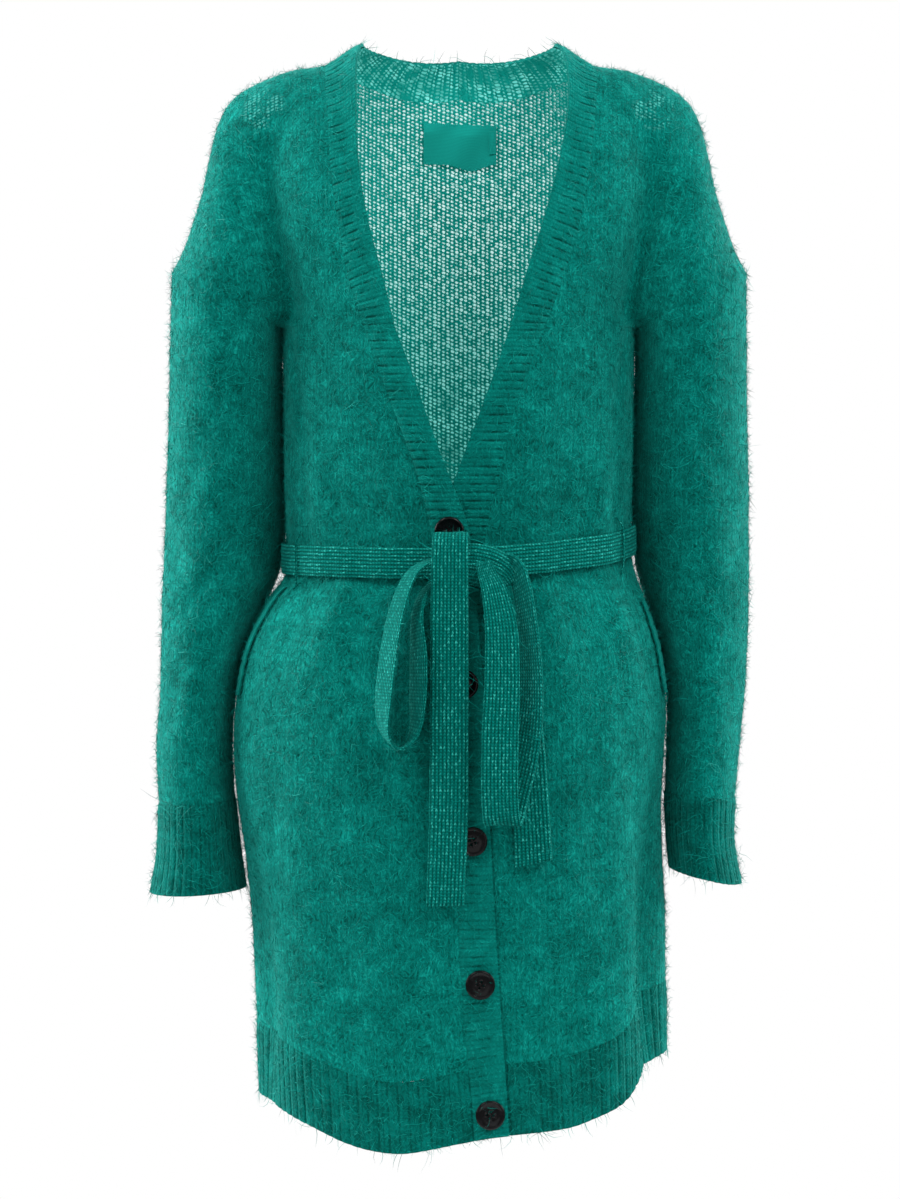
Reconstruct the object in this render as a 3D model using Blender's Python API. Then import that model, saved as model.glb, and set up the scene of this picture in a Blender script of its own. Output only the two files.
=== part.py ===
"""A long belted cardigan in brushed mohair knit, hollow and standing as if worn, built as its sewn pieces.

Metres, +Z up. The front faces -Y. The origin is between the shoulders, where a wearer's neck base holds it up.
"right" and "left" are the wearer's own, so the right side is at -X.
Each piece of cloth is a thin wall. All walls are read from one surface, so that they meet at their seams.
"""

import math

import bmesh
import bpy
from mathutils import Vector

# Cloth
CLOTH = 0.0025
BAND_CLOTH = 0.0028
SEAM_GAP = 0.0003
RIB_PITCH = 0.0072
RIB_HEIGHT = 0.0010
HEM_RIB_PITCH = 0.0085

# Body levels
CHEST = -0.216
HEM_BLEND = -0.700
HEM_SEAM = -0.815
HEM_EDGE = -0.872
HEM_RIB_DEPTH = 0.057
ROUNDNESS = 2.3
BODY_LEVELS = (-0.250, -0.295, -0.340, -0.378, -0.398, -0.419, -0.440, -0.475, -0.520, -0.575, -0.640, -0.700, -0.760,
               -0.815)

HEM_LEVELS = (HEM_SEAM, HEM_EDGE)

# Columns and rows of the walls: columns of one front or half back, turns over the shoulder from the chest (0) to
# the top (90), turns round the back of the neck, and places across a band
SIDE_COLUMNS = 11
YOKE_TURNS = (12, 24, 36, 48, 60, 72, 82, 90)
NECK_TURNS = (0, 18, 36, 54, 70, 81, 90)
BAND_ROWS = (0.0, 1.0)

# Half sizes of the body at each level: height, right, left, front depth, back depth
BODY_SECTIONS = (
    (-0.216, 0.1460, 0.1455, 0.115, 0.102),
    (-0.250, 0.1458, 0.1450, 0.118, 0.102),
    (-0.330, 0.1450, 0.1437, 0.112, 0.098),
    (-0.380, 0.1435, 0.1425, 0.103, 0.090),
    (-0.402, 0.1430, 0.1425, 0.099, 0.087),
    (-0.419, 0.1438, 0.1465, 0.099, 0.087),
    (-0.440, 0.1590, 0.1545, 0.106, 0.095),
    (-0.477, 0.1765, 0.1660, 0.116, 0.109),
    (-0.523, 0.1845, 0.1712, 0.123, 0.120),
    (-0.563, 0.1865, 0.1695, 0.127, 0.125),
    (-0.606, 0.1830, 0.1672, 0.129, 0.125),
    (-0.647, 0.1770, 0.1680, 0.129, 0.122),
    (-0.700, 0.1715, 0.1705, 0.127, 0.118),
    (-0.790, 0.1670, 0.1710, 0.126, 0.116),
    (-0.880, 0.1630, 0.1730, 0.126, 0.117),
)

# Bottom edge of the hem round the body: side angle (0 front, +90 wearer's left, 180 back), height
HEM_LINE = (
    (-180, -0.856), (-120, -0.852), (-90, -0.846), (-76, -0.846), (-57, -0.8505), (-44, -0.858), (-31, -0.870),
    (-22, -0.8755), (-13, -0.877), (-4, -0.872), (6, -0.864), (27, -0.858), (35, -0.852), (46, -0.841), (57, -0.824),
    (68, -0.816), (90, -0.811), (120, -0.836), (180, -0.856),
)

# Largest folds in the body: side angle, height, half width in degrees, half height, depth
BODY_FOLDS = (
    (67, -0.735, 9, 0.110, -0.017),
    (-70, -0.760, 8, 0.090, -0.010),
    (44, -0.790, 10, 0.110, 0.005),
    (-46, -0.800, 11, 0.120, 0.004),
    (-22, -0.470, 5, 0.045, -0.004),
    (-36, -0.455, 5, 0.040, 0.003),
    (-52, -0.462, 6, 0.050, -0.004),
    (24, -0.455, 5, 0.040, 0.003),
    (38, -0.465, 5, 0.050, -0.004),
    (54, -0.455, 6, 0.040, 0.003),
    (-30, -0.350, 6, 0.045, -0.003),
    (-50, -0.345, 6, 0.050, 0.003),
    (33, -0.352, 6, 0.045, -0.003),
    (52, -0.345, 6, 0.050, 0.003),
    (150, -0.470, 7, 0.060, -0.005),
    (172, -0.450, 7, 0.050, 0.004),
    (-165, -0.465, 7, 0.055, -0.005),
    (-145, -0.455, 7, 0.050, 0.004),
    (160, -0.340, 7, 0.050, -0.004),
    (-158, -0.345, 7, 0.050, -0.004),
    (135, -0.780, 12, 0.130, 0.006),
    (-138, -0.780, 12, 0.130, 0.006),
    (178, -0.790, 12, 0.130, -0.006),
)

# Shoulder line seen from the front, from the centre of the neck out to the drop-shoulder corner: way, x, z
SHOULDER_LINE = (
    (0.000, 0.0000, 0.0300),
    (0.225, 0.0790, 0.0205),
    (0.326, 0.1085, 0.0040),
    (0.425, 0.1420, -0.0020),
    (0.530, 0.1775, -0.0170),
    (0.585, 0.1920, -0.0300),
    (0.640, 0.2005, -0.0480),
    (0.700, 0.2065, -0.0720),
    (0.780, 0.2120, -0.1000),
    (0.860, 0.2200, -0.1260),
    (0.940, 0.2285, -0.1510),
    (1.000, 0.2380, -0.1690),
)
NECK_SEAM_WAY = 0.326
NECK_EDGE_WAY = 0.225
NECK_SEAM_DROP = 35.6
NECK_EDGE_DROP = 20.8

# Sleeve head: half depth of the armhole, and the crease between chest and sleeve
HEAD_DEPTH = 0.068
CREASE_SLOPE = 0.0082
CREASE_DEPTH = 0.010

# Way out from the centre of both neck bands' edges, from the chest (0 degrees) up to the shoulder (90)
NECK_CURVES = (
    # angle, right seam, right edge, left seam, left edge
    (0, 0.530, 0.360, 0.475, 0.284),
    (15, 0.505, 0.345, 0.468, 0.297),
    (30, 0.450, 0.337, 0.445, 0.312),
    (45, 0.400, 0.310, 0.405, 0.310),
    (60, 0.360, 0.272, 0.372, 0.292),
    (90, 0.326, 0.225, 0.326, 0.225),
)

# The same edges below the chest as x, with how far the bands are layered (0 side by side, 1 right over left)
PLACKET_CURVES = (
    # height, right seam, right edge, left seam, left edge, layered
    (-0.216, -0.0774, -0.0526, 0.0691, 0.0413, 0.0),
    (-0.253, -0.0646, -0.0385, 0.0545, 0.0285, 0.0),
    (-0.293, -0.0494, -0.0245, 0.0415, 0.0140, 0.6),
    (-0.333, -0.0350, -0.0098, 0.0330, -0.0010, 1.0),
    (-0.373, -0.0247, 0.0056, 0.0235, -0.0150, 1.0),
    (-0.405, -0.0207, 0.0105, 0.0195, -0.0165, 1.0),
    (-0.516, -0.0112, 0.0195, 0.0213, -0.0085, 1.0),
    (-0.628, -0.0040, 0.0247, 0.0265, -0.0013, 1.0),
    (-0.742, 0.0016, 0.0312, 0.0330, 0.0043, 1.0),
    (-0.847, 0.0104, 0.0383, 0.0401, 0.0131, 1.0),
    (-0.900, 0.0130, 0.0400, 0.0418, 0.0157, 1.0),
)
OVER_LIFT = 0.0022
UNDER_DROP = 0.0023

# Sleeve rings below the armhole: height, inner x, outer x, half depth, centre y, how much the inner side is lower
RIGHT_SLEEVE = (
    (-0.232, 0.1470, 0.2395, 0.0710, 0.005, 0.012),
    (-0.290, 0.1462, 0.2415, 0.0740, 0.014, 0.004),
    (-0.345, 0.1452, 0.2440, 0.0730, 0.022, 0.000),
    (-0.380, 0.1450, 0.2455, 0.0710, 0.027, 0.000),
    (-0.410, 0.1485, 0.2470, 0.0680, 0.029, 0.000),
    (-0.440, 0.1600, 0.2482, 0.0650, 0.028, 0.000),
    (-0.480, 0.1780, 0.2485, 0.0620, 0.024, 0.000),
    (-0.523, 0.1865, 0.2492, 0.0590, 0.018, 0.000),
    (-0.563, 0.1888, 0.2515, 0.0560, 0.012, 0.000),
    (-0.606, 0.1865, 0.2490, 0.0540, 0.006, -0.002),
)
RIGHT_CUFF = (
    (-0.606, 0.1865, 0.2490, 0.0540, 0.006, -0.002),
    (-0.645, 0.1825, 0.2500, 0.0545, 0.004, -0.002),
    (-0.6795, 0.1775, 0.2555, 0.0575, 0.002, -0.002),
)
LEFT_SLEEVE = (
    (-0.232, 0.1465, 0.2385, 0.0710, 0.005, 0.012),
    (-0.290, 0.1452, 0.2395, 0.0740, 0.014, 0.004),
    (-0.345, 0.1442, 0.2418, 0.0730, 0.022, 0.000),
    (-0.380, 0.1448, 0.2422, 0.0710, 0.027, 0.000),
    (-0.410, 0.1480, 0.2425, 0.0680, 0.029, 0.000),
    (-0.440, 0.1560, 0.2420, 0.0650, 0.028, 0.000),
    (-0.480, 0.1675, 0.2405, 0.0620, 0.024, 0.000),
    (-0.523, 0.1735, 0.2375, 0.0590, 0.018, 0.000),
    (-0.563, 0.1728, 0.2330, 0.0560, 0.012, 0.000),
    (-0.600, 0.1715, 0.2290, 0.0540, 0.006, -0.002),
)
LEFT_CUFF = (
    (-0.600, 0.1715, 0.2290, 0.0540, 0.006, -0.002),
    (-0.634, 0.1725, 0.2275, 0.0535, 0.004, -0.004),
    (-0.6675, 0.1750, 0.2335, 0.0550, 0.002, -0.0065),
)

# Belt round the waist: side angle, height of its middle
BELT_LINE = ((-180, -0.394), (-90, -0.4045), (-45, -0.4065), (0, -0.4070), (45, -0.3985), (90, -0.3890), (180, -0.394))
BELT_HALF = 0.0125
BELT_CLOTH = 0.0028
BELT_CLEAR = 0.0016
BELT_OVER_BANDS = 0.0022
BELT_COLUMNS = 46
BELT_DENSER = 0.5
BELT_START = 5.7
BELT_END = 2.2
KNOT_ANGLE = 4.0
KNOT_RISE = 0.0066

# Straps of the bow, along their middle line: x, y, z, width, turn of the width from the X axis in degrees
RIGHT_TAIL = (
    (-0.0040, -0.1170, -0.3928, 0.027, 0),
    (-0.0058, -0.1228, -0.3843, 0.027, 0),
    (-0.0070, -0.1300, -0.3852, 0.028, 0),
    (-0.0075, -0.1345, -0.3960, 0.029, 0),
    (-0.0078, -0.1365, -0.4300, 0.030, 0),
    (-0.0080, -0.1390, -0.5200, 0.031, 0),
    (-0.0084, -0.1400, -0.6000, 0.031, 0),
    (-0.0112, -0.1395, -0.6780, 0.030, 0),
)
LEFT_TAIL = (
    (0.0242, -0.1195, -0.4253, 0.015, 0),
    (0.0300, -0.1175, -0.4390, 0.020, 0),
    (0.0385, -0.1190, -0.4620, 0.024, 0),
    (0.0470, -0.1240, -0.5000, 0.028, 0),
    (0.0530, -0.1305, -0.5500, 0.029, 0),
    (0.0565, -0.1325, -0.6000, 0.029, 0),
    (0.0590, -0.1320, -0.6450, 0.030, 0),
)
RIGHT_LOOP = (
    (-0.0070, -0.1225, -0.4030, 0.012, 62),
    (-0.0235, -0.1245, -0.4055, 0.016, 62),
    (-0.0385, -0.1300, -0.4160, 0.021, 62),
    (-0.0490, -0.1370, -0.4420, 0.026, 62),
    (-0.0555, -0.1400, -0.4750, 0.029, 62),
    (-0.0600, -0.1420, -0.5150, 0.030, 64),
    (-0.0590, -0.1430, -0.5400, 0.030, 76),
    (-0.0475, -0.1430, -0.5530, 0.030, 89),
    (-0.0360, -0.1430, -0.5410, 0.030, 76),
    (-0.0330, -0.1420, -0.5150, 0.029, 64),
    (-0.0325, -0.1400, -0.4800, 0.028, 62),
    (-0.0335, -0.1340, -0.4480, 0.018, 62),
    (-0.0255, -0.1240, -0.4270, 0.012, 62),
    (-0.0070, -0.1220, -0.4165, 0.010, 62),
)
LEFT_LOOP = (
    (0.0362, -0.1190, -0.4040, 0.014, 50),
    (0.0455, -0.1275, -0.4130, 0.022, 55),
    (0.0515, -0.1355, -0.4380, 0.027, 58),
    (0.0555, -0.1400, -0.4750, 0.029, 56),
    (0.0560, -0.1425, -0.5150, 0.029, 48),
    (0.0500, -0.1430, -0.5550, 0.029, 26),
    (0.0410, -0.1430, -0.5880, 0.029, 8),
    (0.0370, -0.1455, -0.6050, 0.029, 2),
    (0.0345, -0.1515, -0.6115, 0.029, 0),
    (0.0325, -0.1575, -0.6040, 0.029, 0),
    (0.0315, -0.1595, -0.5800, 0.029, 0),
    (0.0320, -0.1590, -0.5400, 0.029, 0),
    (0.0335, -0.1570, -0.5000, 0.028, 0),
    (0.0330, -0.1520, -0.4600, 0.026, 0),
    (0.0280, -0.1420, -0.4300, 0.021, 0),
    (0.0225, -0.1330, -0.4160, 0.016, 0),
    (0.0190, -0.1290, -0.4060, 0.013, 0),
)
KNOT = {"x": 0.0140, "y": -0.1205, "z": -0.4080, "width": 0.0420, "depth": 0.0130, "height": 0.0340}

# Buttons down the right band: height
BUTTON_LEVELS = (-0.3805, -0.5040, -0.6275, -0.7415, -0.8450)
BUTTON_RADIUS = 0.0118
BUTTON_THICK = 0.0034
BUTTON_RIM = 0.0022
BUTTON_DISH = 0.0008

# Ribbed welts of the side pockets, from top to bottom: side angle of the middle, height, half width
RIGHT_WELT = ((-69.5, -0.428, 0.0035), (-74, -0.470, 0.0060), (-76, -0.505, 0.0065), (-77, -0.517, 0.0060))
LEFT_WELT = ((74, -0.440, 0.0050), (75, -0.470, 0.0065), (76, -0.500, 0.0065), (78, -0.515, 0.0060))
WELT_LIFT = 0.0004
WELT_CLOTH = 0.0020

# Label inside the back of the neck
LABEL = {"x": 0.0010, "top": -0.0360, "height": 0.0350, "width": 0.0620, "cloth": 0.0010, "stand": 0.0010}

# Thread loops that carry the belt: side angle. Their way down over the belt: place in half belt heights, and how
# far it stands out, from the cloth (0) to the belt's face (1)
THREAD_LOOPS = (("thread_loop_right", -61), ("thread_loop_left", 62))
THREAD_WAY = ((1.9, 0.0), (1.6, 0.35), (1.2, 0.9), (0.5, 1.0), (-0.5, 1.0), (-1.2, 0.9), (-1.6, 0.35), (-1.9, 0.0))
THREAD = 0.0018

COLOURS = {
    "mohair": ((0.000, 0.215, 0.165), 0.90),
    "rib": ((0.000, 0.190, 0.145), 0.85),
    "belt": ((0.000, 0.200, 0.155), 0.80),
    "label": ((0.000, 0.230, 0.180), 0.45),
    "button": ((0.006, 0.006, 0.007), 0.25),
    "thread": ((0.000, 0.250, 0.190), 0.80),
}


# Reading tables


def smooth(x):
    x = min(max(x, 0.0), 1.0)
    return x * x * (3 - 2 * x)


def read(table, at, column):
    """A column of a table at a value of its first column, on a smooth curve through the rows."""
    rows = table if table[0][0] < table[-1][0] else table[::-1]
    at = min(max(at, rows[0][0]), rows[-1][0])
    i = 0
    while i < len(rows) - 2 and at > rows[i + 1][0]:
        i += 1

    def slope(k):
        a, b = rows[max(k - 1, 0)], rows[min(k + 1, len(rows) - 1)]
        return (b[column] - a[column]) / (b[0] - a[0])

    low, high = rows[i], rows[i + 1]
    span = high[0] - low[0]
    t = (at - low[0]) / span
    rise = high[column] - low[column]
    bend_in = slope(i) * span
    bend_out = slope(i + 1) * span
    return low[column] + t * (bend_in + t * (3 * rise - 2 * bend_in - bend_out + t * (bend_in + bend_out - 2 * rise)))


def along(rows, t):
    """All columns of a table of points at t from 0 to 1, on a smooth curve that is even in its rows."""
    place = t * (len(rows) - 1)
    i = min(int(place), len(rows) - 2)
    f = place - i
    before, start, end, after = (rows[min(max(k, 0), len(rows) - 1)] for k in (i - 1, i, i + 1, i + 2))
    return [
        0.5 * (2 * q + f * (r - p + f * (2 * p - 5 * q + 4 * r - s + f * (3 * q - p - 3 * r + s))))
        for p, q, r, s in zip(before, start, end, after)
    ]


# The surface of the body and shoulders


def level_height(angle, level):
    """Height of a level round the body: levels below HEM_BLEND follow the hem's line."""
    if level >= HEM_BLEND:
        return level
    edge = read(HEM_LINE, angle, 1)
    seam = edge + HEM_RIB_DEPTH
    if level >= HEM_SEAM:
        return HEM_BLEND + (level - HEM_BLEND) / (HEM_SEAM - HEM_BLEND) * (seam - HEM_BLEND)
    return seam + (level - HEM_SEAM) / (HEM_EDGE - HEM_SEAM) * (edge - seam)


def folds(angle, height):
    total = 0.0
    for at, middle, wide, tall, depth in BODY_FOLDS:
        turn = (angle - at + 180) % 360 - 180
        total += depth * math.exp(-((turn / wide) ** 2) - ((height - middle) / tall) ** 2)
    return total


def section_point(angle, height):
    s, c = math.sin(math.radians(angle)), math.cos(math.radians(angle))
    half = read(BODY_SECTIONS, height, 1 if s < 0 else 2)
    depth = read(BODY_SECTIONS, height, 3 if c > 0 else 4)
    out = folds(angle, height)
    x = half * math.copysign(abs(s) ** (2 / ROUNDNESS), s)
    y = -depth * math.copysign(abs(c) ** (2 / ROUNDNESS), c)
    return Vector((x + out * s, y - out * c, height))


def body_point(angle, level):
    return section_point(angle, level_height(angle, level))


def angle_of_way(way):
    """Side angle from the front for a way out from the centre (0) to the side (1)."""
    return math.degrees(math.asin(min(max(way, 0.0), 1.0) ** (ROUNDNESS / 2)))


def way_of_angle(angle):
    return math.sin(math.radians(angle)) ** (2 / ROUNDNESS)


def yoke_point(side, way, turn):
    """The shoulders: way goes from the centre (0) to the armhole (1), turn from the front chest (0) over the
    shoulder (90) to the back (180)."""
    way = min(max(way, 0.0), 1.0)
    back = turn > 90
    rise = 180 - turn if back else turn
    angle = angle_of_way(way)
    chest = section_point(side * (180 - angle if back else angle), CHEST)
    top_x, top_z = side * read(SHOULDER_LINE, way, 1), read(SHOULDER_LINE, way, 2)
    s, c = math.sin(math.radians(rise)), math.cos(math.radians(rise))
    mix = s ** (1 + way)
    fall = (0.5 if back else 0.75) + 8 * way**6 + (0.4 * smooth(way / 0.6) if back else 0.25 * smooth(way / 0.6))
    torso = abs(chest.y) * c**fall
    hollow = 0.6 * (1 - way) / CREASE_SLOPE
    head = 0.0
    if rise > hollow:
        size = HEAD_DEPTH * smooth((way - 0.35) / 0.55)
        head = size * math.sin(math.pi * (rise - hollow) / (90 - hollow)) if hollow < 90 else 0.0
    depth = (torso**3 + max(head, 0.0) ** 3) ** (1 / 3)
    crease = 1 - CREASE_SLOPE * rise
    fade = smooth((rise - 8) / 12) * smooth((68 - rise) / 20)
    depth -= CREASE_DEPTH * fade * math.exp(-(((way - crease) / 0.07) ** 2))
    x = (1 - mix) * chest.x + mix * top_x
    z = (1 - mix) * CHEST + mix * top_z
    return Vector((x, depth if back else -depth, z))


def across(point, u, v, step_u, step_v, side=1):
    """Unit normal of a surface by differences. side -1 turns it round, for a mirrored surface."""
    du = point(u + step_u, v) - point(u - step_u, v)
    dv = point(u, v + step_v) - point(u, v - step_v)
    return (du.cross(dv) * side).normalized()


def body_normal(angle, level):
    level = max(level, HEM_EDGE + 0.004)
    return across(body_point, angle, level, 1.5, 0.004)


def yoke_normal(side, way, turn):
    w = min(max(way, 0.012), 0.988)
    t = min(max(turn, 1.5), 178.5)
    return across(lambda u, v: yoke_point(side, u, v), w, t, 0.012, 1.5, side)


# Sleeves


def ring_point(side, row, turn):
    height, inner, outer, deep, centre, tilt = row
    c, s = math.cos(math.radians(turn)), math.sin(math.radians(turn))
    x = (inner + outer) / 2 - c * (outer - inner) / 2
    return Vector((side * x, centre - s * deep, height - c * tilt))


def ring_normal(side, rows, t, turn):
    def point(u, v):
        return ring_point(side, along(rows, min(max(u, 0.0), 1.0)), v)

    return across(point, min(max(t, 0.01), 0.99), turn, 0.01, 2.0, side)


def armhole(side, turn, rows, for_sleeve):
    """Point and normal at the armhole seam. turn is 0 at the armpit, 90 front, 180 outer, 270 back.
    Yoke and sleeve share a normal where they run on into each other, and keep their own at the armpit."""
    p = yoke_point(side, 1.0, turn / 2)
    of_yoke = yoke_normal(side, 1.0, turn / 2)
    of_sleeve = ring_normal(side, rows, 0.0, turn)
    share = smooth((of_yoke.dot(of_sleeve) - 0.1) / 0.6)
    own = of_sleeve if for_sleeve else of_yoke
    return p, (own * (1 - share) + (of_yoke + of_sleeve).normalized() * share).normalized()


# Building walls


def material(name):
    found = bpy.data.materials.get(name)
    if found:
        return found
    colour, rough = COLOURS[name]
    m = bpy.data.materials.new(name)
    m.use_nodes = True
    shader = m.node_tree.nodes["Principled BSDF"]
    shader.inputs["Base Color"].default_value = (*colour, 1.0)
    shader.inputs["Roughness"].default_value = rough
    m.diffuse_color = (*colour, 1.0)
    return m


def finish(bm, name, finish_name, angle=40):
    bmesh.ops.recalc_face_normals(bm, faces=bm.faces)
    mesh = bpy.data.meshes.new(name)
    bm.to_mesh(mesh)
    bm.free()
    mesh.shade_smooth()
    mesh.set_sharp_from_angle(angle=math.radians(angle))
    mesh.materials.append(material(finish_name))
    obj = bpy.data.objects.new(name, mesh)
    bpy.context.collection.objects.link(obj)
    return obj


def zip_rows(bm, a, b, at_a, at_b):
    """Triangles between two rows of vertices with different counts, matched by their places at_a and at_b."""
    i = j = 0
    while i < len(a) - 1 or j < len(b) - 1:
        step_a = j == len(b) - 1 or (i < len(a) - 1 and at_a[i + 1] + at_a[i] <= at_b[j + 1] + at_b[j])
        if step_a:
            bm.faces.new((a[i], a[i + 1], b[j]))
            i += 1
        else:
            bm.faces.new((a[i], b[j + 1], b[j]))
            j += 1


def wall(name, finish_name, outer, inner, at_outer=None, at_inner=None, ring=False):
    """A thin wall. outer and inner are lists of rows of points; a row runs along the wall. The rims join points
    by their places along the row, from 0 to 1 round a ring, which closes each row on itself."""
    bm = bmesh.new()
    out = [[bm.verts.new(p) for p in row] for row in outer]
    ins = [[bm.verts.new(p) for p in row] for row in inner]
    if at_outer is None:
        at_outer = at_inner = list(range(len(outer[0])))
    for grid in (out, ins):
        for low, high in zip(grid, grid[1:]):
            columns = len(low) if ring else len(low) - 1
            for i in range(columns):
                j = (i + 1) % len(low)
                bm.faces.new((low[i], low[j], high[j], high[i]))
    for edge in (0, -1):
        a, b = out[edge], ins[edge]
        if ring:
            zip_rows(bm, a + a[:1], b + b[:1], at_outer + [1.0], at_inner + [1.0])
        else:
            zip_rows(bm, a, b, at_outer, at_inner)
    if not ring:
        for end in (0, -1):
            for r in range(len(out) - 1):
                bm.faces.new((out[r][end], out[r + 1][end], ins[r + 1][end], ins[r][end]))
    return finish(bm, name, finish_name)


def pull_in(grid, sides, gap=SEAM_GAP):
    """Moves the named edges of a grid of (point, normal) inwards by half a seam's gap."""
    half = gap / 2
    rows, columns = len(grid), len(grid[0])
    moved = [[p.copy() for p, _ in row] for row in grid]
    for r in range(rows):
        for c in range(columns):
            for side, at_edge, nr, nc in (
                ("low", r == 0, 1, c),
                ("high", r == rows - 1, rows - 2, c),
                ("start", c == 0, r, 1),
                ("end", c == columns - 1, r, columns - 2),
            ):
                if side in sides and at_edge:
                    way = grid[nr][nc][0] - grid[r][c][0]
                    moved[r][c] += way.normalized() * half
    return [[(moved[r][c], grid[r][c][1]) for c in range(columns)] for r in range(rows)]


def panel(name, grid, thickness=CLOTH, finish_name="mohair", ring=False):
    outer = [[p for p, _ in row] for row in grid]
    inner = [[p - n * thickness for p, n in row] for row in grid]
    if ring:
        count = len(outer[0])
        places = [i / count for i in range(count)]
        return wall(name, finish_name, outer, inner, places, places, ring=True)
    return wall(name, finish_name, outer, inner)


def ribbed(name, grid, pitch, thickness, finish_name="rib", ring=False, height=RIB_HEIGHT):
    """A wall with ribs across its rows: two outer points to a rib over a plain inside. Rows run along the piece."""
    rows = [row + row[:1] if ring else row for row in grid]
    middle = rows[len(rows) // 2]
    lengths = [0.0]
    for (a, _), (b, _) in zip(middle, middle[1:]):
        lengths.append(lengths[-1] + (b - a).length)
    total = lengths[-1]
    ribs = max(2, round(total / pitch))
    points = 2 * ribs if ring else 2 * ribs + 1
    at_outer = [i / (2 * ribs) for i in range(points)]
    at_inner = at_outer[::2]
    stations = [length / total for length in lengths]

    def between(row, place):
        k = 0
        while k < len(stations) - 2 and place > stations[k + 1]:
            k += 1
        f = (place - stations[k]) / (stations[k + 1] - stations[k])
        (a, n), (b, m) = row[k], row[k + 1]
        return a.lerp(b, f), n.lerp(m, f).normalized()

    outer = []
    for row in rows:
        line = []
        for i, place in enumerate(at_outer):
            p, n = between(row, place)
            line.append(p + n * (height * (i % 2)))
        outer.append(line)
    inner = []
    for row in rows:
        inner.append([p - n * thickness for p, n in (between(row, place) for place in at_inner)])
    return wall(name, finish_name, outer, inner, at_outer, at_inner, ring)


# Panels


def placket(side, height, column):
    """x of a band's edge below the chest. column 0 is the seam, 1 the free edge."""
    first = 1 if side < 0 else 3
    return read(PLACKET_CURVES, height, first + column)


def neck_way(side, turn, column):
    first = 1 if side < 0 else 3
    return read(NECK_CURVES, turn, first + column)


def angle_at(x, height):
    half = read(BODY_SECTIONS, height, 1 if x < 0 else 2)
    return math.copysign(angle_of_way(abs(x) / half), x)


def seam_angle(side, level, column=0):
    """Side angle where a band's edge crosses a level."""
    height = level
    angle = 0.0
    for _ in range(3):
        angle = angle_at(placket(side, height, column), height)
        height = level_height(angle, level)
    return angle


def body_place(angle, level):
    return body_point(angle, level), body_normal(angle, level)


def side_row(side, start, level):
    """A row of one front from a seam's angle out to the side."""
    step = (90 * side - start) / SIDE_COLUMNS
    return [body_place(start + step * i, level) for i in range(SIDE_COLUMNS + 1)]


def yoke_place(side, way, turn):
    if way > 0.9999:
        return armhole(side, 2 * turn, RIGHT_SLEEVE if side < 0 else LEFT_SLEEVE, False)
    return yoke_point(side, way, turn), yoke_normal(side, way, turn)


def yoke_ways(start, turn):
    """Ways of the columns from a seam out to the armhole: even in angle at the chest, even in way above it."""
    first = angle_of_way(start)
    even = smooth(turn / 30)
    ways = []
    for i in range(SIDE_COLUMNS + 1):
        t = i / SIDE_COLUMNS
        by_angle = way_of_angle(first + (90 - first) * t)
        ways.append(by_angle + (start + (1 - start) * t - by_angle) * even)
    return ways


def front_panel(name, side):
    grid = []
    for level in reversed((CHEST, *BODY_LEVELS)):
        start = seam_angle(side, level)
        grid.append(side_row(side, start, level))
    for turn in YOKE_TURNS:
        ways = yoke_ways(neck_way(side, turn, 0), turn)
        grid.append([yoke_place(side, way, turn) for way in ways])
    return panel(name, pull_in(grid, ("low", "high", "start", "end")))


def neck_drop(way, reach, drop):
    """How far below the shoulder line, in degrees of turn, a line round the back of the neck lies."""
    if way >= reach:
        return 0.0
    return drop * math.sqrt(1 - (way / reach) ** 2.2)


def back_ways(turn):
    """Ways of the back's columns on one side, from its middle out to the armhole."""
    neck = [NECK_SEAM_WAY * math.sin(math.radians(t)) for t in NECK_TURNS[:-1]]
    return neck + yoke_ways(NECK_SEAM_WAY, turn)


def both_sides(half):
    return [(-1, way) for way in reversed(half[1:])] + [(1, way) for way in half]


def back_row(level):
    ways = both_sides(back_ways(0))
    return [body_place(side * (180 - angle_of_way(way)), level) for side, way in ways]


def back_panel(name):
    grid = [back_row(level) for level in reversed((CHEST, *BODY_LEVELS))]
    for turn in YOKE_TURNS:
        row = []
        for side, way in both_sides(back_ways(turn)):
            top = 90 - neck_drop(way, NECK_SEAM_WAY, NECK_SEAM_DROP)
            row.append(yoke_place(side, way, 180 - turn / 90 * top))
        grid.append(row)
    return panel(name, pull_in(grid, ("low", "high", "start", "end")))


def sleeve_turns():
    front = [0.0] + [2.0 * turn for turn in YOKE_TURNS]
    return front + [360.0 - turn for turn in reversed(front[1:-1])]


def sleeve(name, side, rows):
    steps = len(rows) - 1
    turns = sleeve_turns()
    grid = []
    first = []
    for turn in turns:
        p, n = armhole(side, turn, rows, True)
        # The armpit is held off the body's side
        p.x += side * 0.0005 * max(0.0, math.cos(math.radians(turn)))
        first.append((p, n))
    grid.append(first)
    for i in range(steps + 1):
        t = i / steps
        grid.append([(ring_point(side, along(rows, t), turn), ring_normal(side, rows, t, turn)) for turn in turns])
    return panel(name, pull_in(grid, ("low", "high")), ring=True)


def cuff(name, side, rows):
    turns = sleeve_turns()
    steps = len(rows) - 1
    grid = []
    for i in range(steps + 1):
        t = i / steps
        row = []
        for turn in turns:
            row.append((ring_point(side, along(rows, t), turn), ring_normal(side, rows, t, turn)))
        grid.append(row)
    return ribbed(name, pull_in(grid, ("low",)), RIB_PITCH, CLOTH, ring=True)


def hem_front(name, side):
    grid = []
    for level in HEM_LEVELS:
        start = seam_angle(side, level)
        grid.append(side_row(side, start, level))
    return ribbed(name, pull_in(grid, ("low", "start", "end"), 2 * SEAM_GAP), HEM_RIB_PITCH, CLOTH)


def hem_back(name):
    grid = [back_row(level) for level in HEM_LEVELS]
    return ribbed(name, pull_in(grid, ("low", "start", "end"), 2 * SEAM_GAP), HEM_RIB_PITCH, CLOTH)


# Bands


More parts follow.
